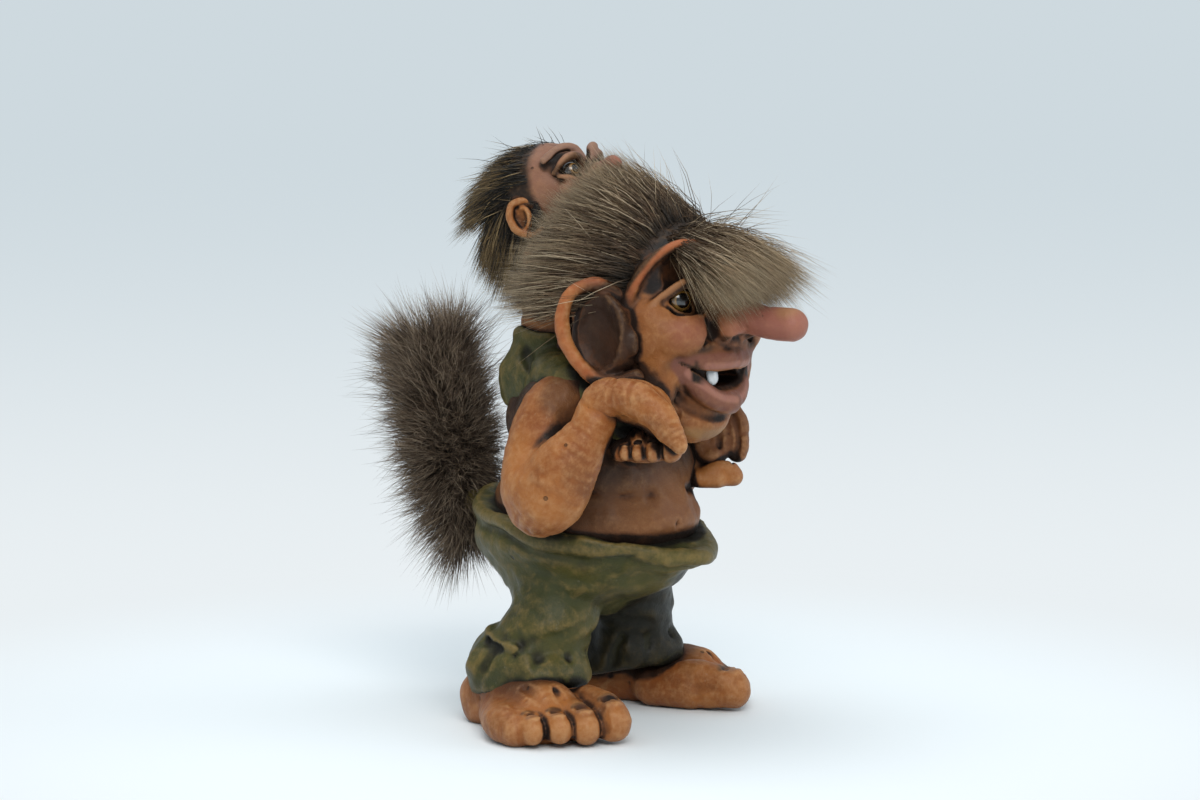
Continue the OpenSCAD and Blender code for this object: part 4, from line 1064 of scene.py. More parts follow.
tints = dict(lip=(0.150, 0.056, 0.038), lipLight=(0.30, 0.13, 0.095), mouth=(0.004, 0.003, 0.002),
             black=(0.007, 0.006, 0.006),
             rose=(0.33, 0.120, 0.075), noseTip=(0.27, 0.100, 0.074), cheek=(0.26, 0.088, 0.058),
             tan=(0.34, 0.130, 0.036), nail=(0.22, 0.11, 0.06),
             nailPink=(0.28, 0.12, 0.09), umber=(0.016, 0.008, 0.005), ochre=(0.30, 0.16, 0.06),
             mauve=(0.21, 0.120, 0.090),
             fold=(0.25, 0.105, 0.042), rim=(0.33, 0.085, 0.026), grimeAndShade=(0.07, 0.026, 0.012),
             pelt=(0.008, 0.006, 0.004),
             face=(0.185, 0.066, 0.021), belly=(0.150, 0.060, 0.022), shade=(0.011, 0.010, 0.006))


def paintHead(brush):
    p = brush.p
    x, y, z = p.T
    ax = np.abs(x)
    brush.stroke(0.55, "face")
    brush.stroke(0.75 * smooth(-52, -60, y), "rose")
    brush.stroke(0.85 * smooth(-58, -67, y), "noseTip")
    # a painted highlight on the top of the nose tip
    brush.line(0.5, [[-1.5, -73, 117], [1.5, -73, 117]], 1.5, 4.5, "ochre", 2)
    for s in (1, -1):
        m = lambda rows: mirrored(rows, s)
        brush.line(0.55, m([[12.0, -53, 112], [17, -49.5, 111.0]]), 1.5, 6, "cheek")
        # dark wash and painted shade fill the folds round the mouth
        brush.line(0.75, m([[8.6, -53.4, 109.4], [12.6, -51.2, 106.8], [17.0, -46.6, 104.0], [18.6, -44, 99],
                                         [16.4, -45.2, 93], [10.5, -48.6, 89.2]]), 0.8, 3.2, "umber")
        brush.line(0.92, m([[0, -56, 103.6], [6, -55.4, 103.3], [11, -52.0, 103.2], [15.6, -47.0, 104.2]]), 1.5,
                   3.2, "lip")
        brush.line(0.92, m([[0, -55, 91.6], [6, -54.0, 92.8], [11, -50.8, 96.6], [15.8, -46.8, 102.4]]), 2.4,
                   3.6, "lip")
        brush.line(0.75, m([[0, -56.4, 101.9], [6, -55.4, 101.7], [10, -53.2, 101.9]]), 0.5, 1.5, "lipLight")
        brush.line(0.75, m([[0, -56, 92.4], [6, -55.0, 93.6], [11.0, -51.8, 97.2], [14.0, -49.2, 100.2]]), 0.5,
                   1.6, "lipLight")
        # painted shade under the lower lip and above the upper lip, and near black in the corners of the mouth
        brush.line(0.85, m([[0, -53.4, 87.0], [6, -52.2, 87.9], [12.2, -48.4, 91.6], [16.6, -46.2, 97.0],
                            [18.2, -45.4, 103.0]]), 0.8, 2.1, "umber")
        brush.line(0.75, m([[3, -57.0, 107.2], [9, -54.4, 106.6], [14.0, -50.0, 106.6], [17.6, -46.4, 105.6]]),
                   0.5, 2.0, "umber")
        brush.line(0.97, m([[8.6, -52.6, 99.6], [12.5, -50.4, 101.7], [16.6, -47.4, 103.9]]), 0.6, 1.1, "mouth",
                   9)
        brush.line(0.8, m([[16.2, -47.2, 103.9], [18.2, -45.2, 104.4]]), 0.5, 1.5, "umber")
        # satin black arch with an orange ridge round it
        arch = [[8.0, -47, 126.0, 0], [8.6, -47, 130.0, 0], [13.5, -44, 130.8, 0], [17.8, -41.0, 126.8, 0]]
        brush.line(0.98, m(arch), 5.4, 6.6, "black")
        brush.line(0.94, m([[5.4, -47.4, 119], [7.8, -48.6, 123.4], [11, -49.4, 124.0], [14.6, -46.8, 122.6],
                            [17.4, -42.8, 119.4]]), 1.2, 2.2, "black")
        brush.line(0.9, m([[5.4, -47.4, 118], [8, -48.2, 115.6], [11, -48.4, 114.8], [15, -45.6, 115.6],
                           [17.6, -42.6, 118.0]]), 0.9, 1.9, "black")
        brush.line(0.85, m([[12.6, -50.0, 125.6], [15.6, -47.6, 123.9], [18.8, -43.8, 120.2],
                            [20.6, -41.2, 116.6]]), 0.6, 1.4, "fold")
        rim = m([[4.6, -52.4, 125, 0], [6.5, -52.8, 131.2, 0], [10.8, -50.2, 135.4, 0], [16.0, -45.8, 134.8, 0],
                 [20.2, -40.8, 129.6, 0],
                 [22.4, -37.0, 122.8, 0], [23.0, -34.8, 118, 0]])
        brush.line(0.9, rim, 0.9, 1.9, "rim")
        # painted shade beside the ear and down the side of the face, and under the jaw
        brush.line(0.85, m([[22.5, -31, 125], [23, -31, 112], [21.8, -34, 100], [17, -33, 90]]), 4.0, 8.5,
                   "umber")
        brush.line(0.6, m([[17.5, -37, 98.5], [15.5, -39, 91], [9, -42, 85.5]]), 1.5, 5.0, "umber")
        # painted shade under the nostrils and beside the top of the nose
        brush.line(0.85, m([[3.4, -59, 108.6], [6.4, -56, 108.6]]), 1.0, 2.4, "umber")
        brush.line(0.8, m([[5.6, -50.5, 118.5], [8.2, -53.0, 114.4]]), 0.8, 2.2, "umber")
    # the mouth's opening is painted near black as shade
    opening = smooth(3.4, 2.5, np.abs(z - 97.9 - 0.016 * ax ** 2))
    brush.stroke(0.98 * opening * smooth(-52.6, -51.2, y) * smooth(13.8, 12.6, ax), "mouth")
    brush.line(0.75, [[-9, -46.6, 82.6], [0, -49, 82.2], [9, -46.6, 82.6]], 1.0, 3.2, "ochre")
    for s in (1, -1):
        brush.line(0.5, mirrored([[19.4, -43.6, 105.0], [20.2, -42.2, 99.0], [18.4, -42.6, 93.0],
                                  [14.0, -44.4, 86.6]], s), 0.6, 2.4, "ochre")
        brush.line(0.55, mirrored([[19.6, -42.0, 112.0], [20.6, -41.0, 104.0], [17.6, -42.6, 94.0]], s), 1.5,
                   4.5, "tan")
    brush.line(0.8, [[-18.4, -47.6, 107.6], [-18.5, -47.6, 107.0]], 0.9, 1.8, "grimeAndShade", 2)
    # the pelt's backing, painted near black as the shade deep in the fur, shows between the hairs
    brush.stroke(0.97 * smooth(-0.6, 1.2, z - 117 - 1.5 * np.clip(-33 - y, 0, 20)), "pelt")


def paintChildHead(brush):
    x, y, z = brush.p.T
    brush.stroke(0.6, "mauve")
    # the pelt's backing, painted near black as the shade deep in the fur
    brush.stroke(0.95 * smooth(2.5, 5.5, y - 0.35 * (z - 147)), "pelt")
    for s in (1, -1):
        m = lambda rows: tipped(mirrored(rows, s))
        brush.line(0.95, m([[0, -15.6, -5.2], [4, -14.6, -5.0]]), 1.0, 2.2, "lip")
        brush.line(0.95, m([[0, -14.6, -8.3], [4, -13.8, -7.7]]), 1.0, 2.2, "lip")
        brush.line(0.8, m([[1.8, -15.0, 5.6], [3.6, -15.2, 8.6], [7.6, -13.0, 9.6], [11, -9.0, 7.4]]), 2.0, 3.6,
                   "mauve")
        brush.line(0.85, m([[2.2, -13.6, 2.6], [5.8, -15.2, 5.9], [9.8, -10.4, 3.0]]), 0.9, 2.0, "umber")
    brush.line(0.9, tipped([[0, -20.5, 1.2], [0, -25, 1.4]]), 3.0, 4.6, "noseTip")


def paintTorso(brush):
    x, y, z = brush.p.T
    brush.stroke(0.8, "belly")
    # painted shade: the chest under the head and the child, the near flank under the arm, and low on the belly by the
    # waistband
    brush.stroke(0.9 * smooth(63, 80, z + 0.15 * np.abs(x)), "umber")
    brush.stroke(0.7 * smooth(-12, -26, x) * smooth(52, 60, z), "umber")
    brush.stroke(0.85 * smooth(54.5, 51.5, z), "umber")


def paintEar(s):
    m = lambda rows: mirrored(rows, s)

    def paint(brush):
        p = brush.p
        # the inside of the bowl is painted dark as shade
        inBowl = smooth(32.0, 30.2, np.abs(p[:, 0]) - 0.25 * (p[:, 1] + 30))
        brush.stroke(0.94 * inBowl * smooth(97, 100, p[:, 2]), "umber")
        rim = [[27.5, -29.5, 125.6, 0], [32.5, -23.4, 122.6, 0], [35.0, -21.4, 115.5, 0],
               [34.8, -22.6, 108.6, 0], [32.6, -26.6, 101.4, 0],
               [29.6, -31.6, 96.6, 0]]
        brush.line(0.6, m(rim), 1.6, 3.2, "rim")
    return paint


def paintArm(s):
    upper, fore = armStations(s)[:2]
    out = np.array([s * 5.0, -1.5, 0])
    foldShadeLine = [[*((upper[3][:3] + fore[1][:3]) / 2 + out + [0, 2, -3]), 0],
            [*((upper[3][:3] + fore[2][:3]) / 2 + out + [0, 1, 1]), 0],
            [*((upper[2][:3] + fore[3][:3]) / 2 + out), 0],
            [*((upper[1][:3] + fore[3][:3]) / 2 + out + [0, -2, 3]), 0]]

    def paint(brush):
        # painted shade in the fold between forearm and upper arm, and high on the upper arm by the shoulder
        brush.line(0.93, foldShadeLine, 1.6, 4.2, "umber")
        brush.line(0.6, [[*(upper[0][:3] + [s * 3, -2, 6]), 0], [*(upper[1][:3] + [s * 4, -5, 5]), 0]], 3.0,
                   7.5, "umber")
        # the far arm is painted darker all over as shade
        if s > 0:
            brush.stroke(0.45, "grimeAndShade")
    return paint


# one tint over a whole casting: painted shade on the far hand, and a darker skin tone on the child's torso
def paintFar(amount, tone):
    def paint(brush):
        brush.stroke(amount, tone)
    return paint


def paintTrousers(brush):
    x, y, z = brush.p.T
    brush.stroke(0.96 * smooth(-1, 6, x) * smooth(42, 34, z + 0.2 * y), "shade")
    brush.stroke(0.6 * smooth(34, 28, z) * smooth(-4, -10, y) * smooth(-14, -6, x), "shade")


def paintFoot(s, place, l, w, h, heel, nailTint):
    reach, toes = footParts(l, w, h, heel)

    def paint(brush):
        for rows, tw, th, x, tip in toes:
            up = th * 0.50 + tw * 0.50
            bed = place([[x - tw * 0.16, -tip + 0.095 * reach, up - tw * 0.08, 0],
                         [x + tw * 0.16, -tip + 0.095 * reach, up - tw * 0.08, 0]])
            brush.line(0.7, bed, tw * 0.12, tw * 0.24, nailTint, 3)
            # dark wash and painted shade in the groove behind each nail
            back = place([[x - tw * 0.26, -tip + 0.150 * reach, up, 0],
                          [x, -tip + 0.155 * reach, up + tw * 0.06, 0],
                          [x + tw * 0.26, -tip + 0.150 * reach, up, 0]])
            brush.line(0.8, back, tw * 0.05, tw * 0.17, "umber", 7)
        # painted shadow of the hem over the top of the foot
        top = place([[0, -0.12 * reach, h * 1.0, 0], [0, -0.44 * reach, h * 0.9, 0]])
        brush.line(0.8, top, w * 0.16, w * 0.42, "umber", 3)
        # painted shade along the lowest 2 mm of the foot, by what it stands on
        brush.stroke(0.5 * smooth(1.8, 0.2, brush.p[:, 2] - place([[0, 0, 0]])[0][2]), "umber")
    return paint


painters = {
    "head": paintHead, "child_head": paintChildHead, "torso": paintTorso, "trousers": paintTrousers,
    "right_ear": paintEar(-1), "left_ear": paintEar(1),
    "left_hand": paintFar(0.6, "grimeAndShade"), "left_arm": paintArm(1), "right_arm": paintArm(-1),
    "child_torso": paintFar(0.7, "face"),
    "right_foot": paintFoot(-1, footPlace(-1), *figure["foot"], "nail"),
    "left_foot": paintFoot(1, footPlace(1), *figure["foot"], "nail"),
    "child_right_foot": paintFoot(-1, childFootPlace(-1), *figure["childFoot"], "nailPink"),
    "child_left_foot": paintFoot(1, childFootPlace(1), *figure["childFoot"], "nailPink"),
}

for node, sculpt, step, paint in castings:
    low, high = boxOf(node, 9)
    verts, faces = skinOf(sculpt, low, high, step)
    verts = settle(verts, faces, 1)
    normals = meshNormals(verts, faces)
    # how shut each place is, painted into the colour as shade together with the wash
    hollow = shut(verts, normals)
    # what stands proud: the surface lies further out than the mean of its own neighbourhood
    soft = settle(verts, faces, 6)
    proud = np.einsum("ij,ij->i", verts - soft, normals) / step
    fineOcclusionShade = np.clip(-proud * 1.6, 0, 1)
    brush = Brush(verts, normals)
    if node in painters:
        painters[node](brush)
    values = dict(hollow=np.clip(smooth(0.10, 0.85, hollow) * 0.9 + fineOcclusionShade * 0.6, 0, 1.2),
                  proud=np.clip(0.5 + proud * 1.6 - hollow * 0.5, 0, 1))
    first, *others = node.split("_")
    name = "tailStub" if node == "tail_root" else first + "".join(map(str.title, others)) + "Casting"
    makeObject(name, verts, faces, paint[0], brush.colours(), values, paint[1], [node])
    report("%s %d triangles" % (name, 2 * len(faces)))


# Fur: tapered three-sided hairs that lean from the pelt into the combing direction.
# A hair is root + length * (lift * (t - t^2 / 2) * normal + combing * (t + t^2) / 2) - droop * t^2 * up,
# drawn together towards the middle of its lock as t^1.5
def furMaterial(name, look):
    p = Paint(name, Roughness=0.55)
    p.shader.inputs["Specular IOR Level"].default_value = 0.35
    along, own = p.value("along"), p.value("own")
    patch = p.noise(look["patch"], 2)
    coat = p.mix((along + 0.25 * (own - 0.5)).between(0.02, 0.55), look["root"], look["middle"])
    coat = p.mix((along + 0.5 * (own - 0.5) + 0.3 * (patch - 0.5)).between(look["tipFrom"], 1.05), coat,
                 look["tip"])
    coat = p.mix((own > look["paleShare"]) * along.between(0.15, 0.6) * 0.75, coat, look["paleHair"])
    coat = p.mix(patch.between(0.52, 0.75) * 0.4, coat, look["warm"])
    return p.feed(Base_Color=coat, Roughness=0.46 + 0.16 * own)


furLooks = dict(
    hair=dict(root=(0.010, 0.007, 0.004), middle=(0.078, 0.045, 0.021), tip=(0.47, 0.345, 0.205),
              paleHair=(0.56, 0.445, 0.30),
              warm=(0.13, 0.060, 0.024), tipFrom=0.48, paleShare=0.86, patch=0.006),
    tail=dict(root=(0.014, 0.010, 0.007), middle=(0.070, 0.047, 0.031), tip=(0.26, 0.19, 0.125),
              paleHair=(0.36, 0.28, 0.20),
              warm=(0.10, 0.058, 0.032), tipFrom=0.50, paleShare=0.86, patch=0.008),
    child=dict(root=(0.006, 0.004, 0.003), middle=(0.014, 0.010, 0.006), tip=(0.33, 0.21, 0.085),
               paleHair=(0.36, 0.25, 0.12),
               warm=(0.05, 0.024, 0.009), tipFrom=0.58, paleShare=0.93, patch=0.004))
furPaints = {key: furMaterial(key + "Fur", look) for key, look in furLooks.items()}


def unit(v):
    return v / (np.linalg.norm(v, axis=-1, keepdims=True) + 1e-12)


def growFur(name, roots, normals, comb, length, lift, droop, seed, paint, slot, node, lock=14, gather=0.55,
            thick=0.115, wander=0.16, stray=0.05, strayReach=(0.45, 0.85), rings=3):
    rng = np.random.default_rng(seed)
    n = len(roots)
    length = length * rng.uniform(0.62, 1.08, n)
    jitter = rng.normal(0, wander, (n, 3))
    comb = unit(comb + jitter)
    loose = rng.random(n) < stray
    comb[loose] = unit(comb[loose] + rng.normal(0, 0.45, (loose.sum(), 3)) + 0.5 * normals[loose])
    length = np.where(loose, length * rng.uniform(*strayReach, n), length)
    t = (np.arange(rings + 1) / rings)[None, :, None]
    lift = (lift * rng.uniform(0.7, 1.25, n))[:, None, None]
    far = length[:, None, None]
    path = roots[:, None] + far * (lift * (t - 0.5 * t * t) * normals[:, None] + comb[:, None] * (t + t * t) * 0.5)
    path[..., 2] -= (droop * t[..., 0] ** 2)
    curl = rng.normal(0, 1, (n, 3))
    path = path + (curl * 0.02 * length[:, None])[:, None] * np.sin(np.pi * t * 1.3)
    if lock > 1:
        heads = rng.choice(n, max(n // lock, 2), replace=False)
        nearest = np.zeros(n, int)
        spot = roots + comb * 2.0
        for k in range(0, n, 2000):
            gap = ((spot[k:k + 2000, None] - spot[heads][None]) ** 2).sum(-1)
            nearest[k:k + 2000] = heads[gap.argmin(1)]
        pull = gather * np.where(loose, 0.1, 1.0) * rng.uniform(0.3, 1.0, n)
        path = path + pull[:, None, None] * t ** 1.5 * (path[nearest] - path)
    tangent = unit(path[:, -1] - path[:, 0])
    side = unit(np.cross(tangent, rng.normal(0, 1, (n, 3))))
    up = np.cross(tangent, side)
    wide = thick * rng.uniform(0.7, 1.25, n)
    verts = np.zeros((n, rings * 3 + 1, 3))
    for k in range(rings):
        w = wide * (1 - (k / rings) ** 1.6 * 0.8)
        for c in range(3):
            a = 2 * np.pi * c / 3
            verts[:, k * 3 + c] = path[:, k] + w[:, None] * (np.cos(a) * side + np.sin(a) * up)
    verts[:, -1] = path[:, -1]
    one = []
    for k in range(rings - 1):
        for c in range(3):
            a, b = k * 3 + c, k * 3 + (c + 1) % 3
            one.append((a, b, b + 3))
            one.append((a, b + 3, a + 3))
    last = (rings - 1) * 3
    one += [(last + c, last + (c + 1) % 3, rings * 3) for c in range(3)]
    one.append((0, 2, 1))
    count = rings * 3 + 1
    faces = (np.array(one)[None] + (np.arange(n) * count)[:, None, None]).reshape(-1, 3)
    level = np.array([k / rings for k in range(rings) for c in range(3)] + [1.0])
    values = dict(along=np.tile(level, n), own=np.repeat(rng.random(n), count))
    makeObject(name, verts.reshape(-1, 3), faces, paint, None, values, slot, [node])
    report("%s %d hairs" % (name, n))


def scatterOn(centre, radii, keep, count, seed, turn=None):
    # random places and normals on an ellipsoid, where keep(points) is true
    rng = np.random.default_rng(seed)
    centre, radii = np.array(centre, float), np.array(radii, float)
    points, normals, total = [], [], 0
    while total < count:
        u = unit(rng.normal(0, 1, (count * 2, 3)))
        p = centre + u * radii
        n = unit(u / radii)
        if turn is not None:
            p = (p - centre) @ turn.T + centre
            n = n @ turn.T
        ok = keep(p)
        points.append(p[ok])
        normals.append(n[ok])
        total += ok.sum()
    return np.concatenate(points)[:count], np.concatenate(normals)[:count]


furAmount = 1.0

# The big fur cap. Every root has the place its tip should reach: in front of the parting that lies over the
# nose, behind it up and back against the child, and at the sides straight back over the ears
capCentre, capRadii = (0, -28.0, 119.5), (23.0, 23.6, 20.0)


def inCap(p):
    x, y, z = p.T
    return z > 117.5 + 1.45 * np.clip(-33 - y, 0, 20) + 1.5 * smooth(-12, -2, y)


def towards(roots, normals, tips, lift):
    # length and comb of a hair that ends at its tip, once the lift of the pelt is taken off
    away = tips - roots
    length = np.linalg.norm(away, axis=1)
    return length, unit(away / length[:, None] - 0.5 * lift[:, None] * normals)


hairCount, fringeCount = int(17600 * furAmount), int(7500 * furAmount)
roots, normals = scatterOn(capCentre, capRadii, inCap, hairCount, 7)
more = scatterOn(capCentre, capRadii, lambda p: inCap(p) & (p[:, 1] < -36) & (np.abs(p[:, 0]) < 12),
                 fringeCount, 8)
roots, normals = np.concatenate([roots, more[0]]), np.concatenate([normals, more[1]])
x, y, z = roots.T
rng = np.random.default_rng(5)
side = np.abs(x)
isFront = (y + 0.5 * np.clip(side - 7, 0, 9) < -36.8 + rng.normal(0, 1.1, len(x))) & (side < 13)
level = rng.random(len(x)) ** 0.8                             # 0 low over the nose, 1 high
frontTip = np.stack([x * 1.2 + rng.normal(0, 2.4, len(x)),
                     -57.0 - 17.5 * np.sqrt(level) + rng.normal(0, 1.5, len(x)),
                     113.0 + 4.0 * level + 10.5 * level ** 2], 1)
backTip = np.stack([x * 1.20, np.maximum(-14.5 + 0.62 * side + 6.0 * smooth(140, 124, z), y + 3),
                    z + 17.5 * np.clip(1 - (side / 21.5) ** 2, 0, 1) ** 0.9 - 1.5 * smooth(140, 128, z)], 1)
tips = np.where(isFront[:, None], frontTip, backTip)
lift = np.where(isFront, 0.50, 0.60)
length, comb = towards(roots, normals, tips, lift)
groups = dict(fringeFur=isFront, crownFurRight=~isFront & (x <= 0), crownFurLeft=~isFront & (x > 0))
for k, (name, pick) in enumerate(groups.items()):
    growFur(name, roots[pick], normals[pick], comb[pick], length[pick], lift[pick],
            np.full((pick.sum(), 1), (1.5, 1.0, 1.0)[k]), 11 + k,
            furPaints["hair"], "grey_fur", "hair", wander=0.12, stray=0.02, gather=0.5, lock=16)

# The tail: a full brush round a core. Hairs lie along it, upwards in the top half and hanging below
tailRows = curveThrough([[0, 36.5, 47, 2.6], [0, 40, 54, 5.6], [0, 42.5, 65, 8.6], [0, 44.5, 75, 10.0],
                         [0, 46.5, 86, 10.0], [0, 49.0, 95, 8.4],
                         [0, 51.5, 102, 4.5]], 41)
tailCount = int(17000 * furAmount)
rng = np.random.default_rng(31)
u = np.clip(rng.beta(1.35, 1.15, tailCount), 0.01, 0.99) * 40
k0 = u.astype(int)
part = (u - k0)[:, None]
middle = tailRows[k0, :3] * (1 - part) + tailRows[k0 + 1, :3] * part
girth = (tailRows[k0, 3:4] * (1 - part) + tailRows[k0 + 1, 3:4] * part) * 0.80
axis = unit(tailRows[k0 + 1, :3] - tailRows[k0, :3])
around = rng.uniform(0, 2 * np.pi, tailCount)
sideways = np.array([1.0, 0, 0])
radial = np.cos(around)[:, None] * sideways + np.sin(around)[:, None] * np.cross(axis, sideways)
roots = middle + radial * girth
lean = (u[:, None] / 40 - 0.40) * 2.4
swirl = np.cross(axis, radial) * rng.normal(0, 0.38, (tailCount, 1))
comb = unit(radial * 0.55 + axis * lean + swirl + [0, 0.16, 0.0])
length = 9.5 + 4.0 * np.abs(lean[:, 0]) ** 2 + 9.5 * rng.random(tailCount) ** 1.6
length = np.where((radial[:, 1] < -0.5) & (roots[:, 2] < 98), length * 0.7, length)
half = rng.random(tailCount) < 0.5
for k, pick in enumerate((half, ~half)):
    growFur("tailFur" + "AB"[k], roots[pick], radial[pick], comb[pick], length[pick], np.full(pick.sum(), 0.35),
            np.full((pick.sum(), 1), 1.0), 37 + k, furPaints["tail"], "grey_fur", "tail_fur", lock=15,
            gather=0.66,
            wander=0.42, stray=0.10, strayReach=(0.85, 1.10), thick=0.10)
coreRows = tailRows[::5] * [1, 1, 1, 0.86]


def sculptCore(clay):
    clay.tube(coreRows, 1)


def plainCasting(name, sculpt, low, high, step, material, slot, node):
    verts, faces = skinOf(sculpt, np.array(low, float), np.array(high, float), step)
    makeObject(name, verts, faces, material, np.zeros((len(verts), 4)),
               dict(hollow=np.ones(len(verts)), proud=np.zeros(len(verts))),
               slot, [node])


# the tail's core, painted near black as the shade deep inside the fur
pelt = Paint("darkPeltShade", Roughness=0.9)
pelt.feed(Base_Color=pelt.mix(pelt.noise(0.002), (0.020, 0.013, 0.008), (0.045, 0.030, 0.018)))
plainCasting("tailCore", sculptCore, [-12, 30, 42], [12, 64, 110], 0.9, pelt.material, "grey_fur", "tail_fur")

# The child's fur: black, gold at its tips, in a short upper tier and a hanging lower one
tipTurn = turning((1, 0, 0), -figure["childTip"]).astype(float)
headAt = np.array(figure["childHead"], float)


def onChild(p):
    q = (p - headAt) @ tipTurn.T
    return (q[:, 1] > -3.5 - 0.35 * np.clip(q[:, 2] - 6, 0,
                                            9)) & ((np.abs(q[:, 0]) < 12.4) | (q[:, 2] > 4.5) | (q[:, 1] > 5))


childCount = int(12000 * furAmount)
roots, normals = scatterOn(headAt + [0, 0.2, -0.6], (13.0, 13.6, 13.2), onChild, childCount, 41)
q = roots - headAt
upper = q[:, 2] > -1.0 + np.random.default_rng(3).normal(0, 1.2, len(q))
upperWay = np.stack([0.16 * q[:, 0], np.full(len(q), 17.5), -2.0 - 9.5 * smooth(-2, 12, q[:, 1])], 1)
lowerWay = np.stack([0.12 * q[:, 0], 4.0 + 6.0 * smooth(2, 12, q[:, 1]), np.full(len(q), -18.5)], 1)
tips = roots + np.where(upper[:, None], upperWay, lowerWay)
lift = np.full(len(q), 0.30)
length, comb = towards(roots, normals, tips, lift)
for k, sel in enumerate((upper, ~upper)):
    growFur("childFur" + ("Upper", "Lower")[k], roots[sel], normals[sel], comb[sel], length[sel], lift[sel],
            np.full((sel.sum(), 1), 1.0), 43 + k, furPaints["child"], "dark_fur", "child_hair", lock=12,
            gather=0.6,
            thick=0.13, wander=0.10, stray=0.02)


# Glass eyes: a dome whose iris is drawn by the angle from the way that it looks
def eyeMaterial(name, centre, gaze, look):
    p = Paint(name, Roughness=0.12, Coat_Weight=1.0, Coat_Roughness=0.02)
    rel = p.add("ShaderNodeVectorMath", dict(operation="SUBTRACT"), [p.spot, tuple(centre)])
    away = p.add("ShaderNodeVectorMath", dict(operation="NORMALIZE"), [rel])
    cosine = p.add("ShaderNodeVectorMath", dict(operation="DOT_PRODUCT"), [away, tuple(gaze)], "Value")
    angle = cosine.reckon("ARCCOSINE", cosine * 0.99999)
    flat = p.add("ShaderNodeVectorMath", dict(operation="CROSS_PRODUCT"), [away, tuple(gaze)])
    rays = p.noise(0.09, 2, 0.7, p.add("ShaderNodeVectorMath", dict(operation="NORMALIZE"), [flat]))
    iris = p.mix(rays.between(0.35, 0.65), look["iris"], look["irisDark"])
    iris = p.mix((angle + 0.10 * (rays - 0.5)).between(look["pupil"] + 0.02, look["pupil"] + 0.22),
                 look["ring"], iris)
    colour = p.mix(angle.between(look["rim"] - 0.10, look["rim"] + 0.03), iris, look["white"])
    colour = p.mix(angle.between(look["pupil"] + 0.03, look["pupil"] - 0.03), colour, (0.002, 0.002, 0.002))
    return p.feed(Base_Color=colour, Roughness=0.10 + 0.02 * rays)


def domeMesh(centre, radius, count=48):
    # a ball from a cube of grids pushed out to the radius, so that it has no poles
    g = np.linspace(-1, 1, count)
    a, b = np.meshgrid(np.tan(g * np.pi / 4), np.tan(g * np.pi / 4), indexing="ij")
    verts, faces = [], []
    for axis in range(3):
        for s in (1, -1):
            p = np.zeros((count * count, 3))
            p[:, axis], p[:, (axis + 1) % 3], p[:, (axis + 2) % 3] = s, a.ravel() * s, b.ravel()
            verts.append(p)
            i = (np.arange(count - 1)[:, None] * count + np.arange(count - 1)[None]).ravel()
            base = (len(verts) - 1) * count * count
            faces.append(base + np.stack([i, i + count, i + count + 1, i + 1], 1))
    verts = unit(np.concatenate(verts)) * radius + centre
    faces = np.concatenate(faces)
    key = np.round(verts * 1e4).astype(np.int64)
    _, first, back = np.unique(key, axis=0, return_index=True, return_inverse=True)
    return verts[first], back.ravel()[faces]


eyeLooks = dict(
    troll=dict(iris=(0.15, 0.075, 0.016), irisDark=(0.045, 0.022, 0.007), ring=(0.20, 0.105, 0.022),
               white=(0.012, 0.009, 0.007), pupil=0.52, rim=0.86),
    child=dict(iris=(0.16, 0.075, 0.02), irisDark=(0.05, 0.025, 0.01), ring=(0.30, 0.16, 0.04),
               white=(0.020, 0.014, 0.010), pupil=0.52, rim=0.85))
for s, node in ((-1, "right_eye"), (1, "left_eye")):
    centre = mirrored([figure["eye"]], s)[0]
    gaze = unit(np.array([s * 0.10 - 0.34, -1.0, 0.02]))
    verts, faces = domeMesh(centre, figure["eyeR"])
    material = eyeMaterial(node + "Glass", (np.array(centre) + [0, setBack, 0]) * 0.001, gaze,
                           eyeLooks["troll"])
    makeObject(node + "Dome", verts, faces, material, slot="glass_eye", nodes=[node])
for s, node in ((-1, "child_right_eye"), (1, "child_left_eye")):
    centre = tipped(mirrored([figure["childEye"]], s))[0]
    gaze = unit(tipped([[s * 0.2, -1.0, 0.1]])[0] - headAt)
    verts, faces = domeMesh(centre, figure["childEyeR"], 32)
    material = eyeMaterial(node + "Glass", (np.array(centre) + [0, setBack, 0]) * 0.001, gaze,
                           eyeLooks["child"])
    makeObject(node + "Dome", verts, faces, material, slot="glass_eye", nodes=[node])

# The single tooth: a slightly flattened peg with a bevelled edge
enamel = Paint("toothEnamel", Roughness=0.22, Coat_Weight=0.6, Coat_Roughness=0.06)
enamel.feed(Base_Color=enamel.mix(enamel.noise(0.0012), (0.56, 0.60, 0.64), (0.40, 0.40, 0.38)))


def toothSculpt(clay):
    clay.tube([[-5.0, -50.2, 103.0, 1.7], [-5.4, -51.2, 100.4, 2.1], [-5.6, -51.8, 98.3, 2.0]], 0.4,
              flat=([0, 1, 0], 0.62))


plainCasting("toothPeg", toothSculpt, [-9, -56, 94], [-1, -46, 106], 0.16, enamel.material, "tooth_enamel",
             "tooth")


# Camera at the photograph's angle, soft studio light and a plain pale sweep
view = dict(turn=-53.0, rise=5.5, distance=0.85, target=(0, -0.0066, 0.0895), lens=91.3)
a, e = np.radians(view["turn"]), np.radians(view["rise"])
back = Vector((np.sin(a) * np.cos(e), -np.cos(a) * np.cos(e), np.sin(e)))
camera = bpy.data.objects.new("camera", bpy.data.cameras.new("camera"))
camera.data.lens, camera.data.sensor_width = view["lens"], 36.0
camera.data.clip_start = 0.01
camera.location = Vector(view["target"]) + back * view["distance"]
camera.rotation_euler = (-back).to_track_quat("-Z", "Y").to_euler()
bpy.context.scene.collection.objects.link(camera)
bpy.context.scene.camera = camera

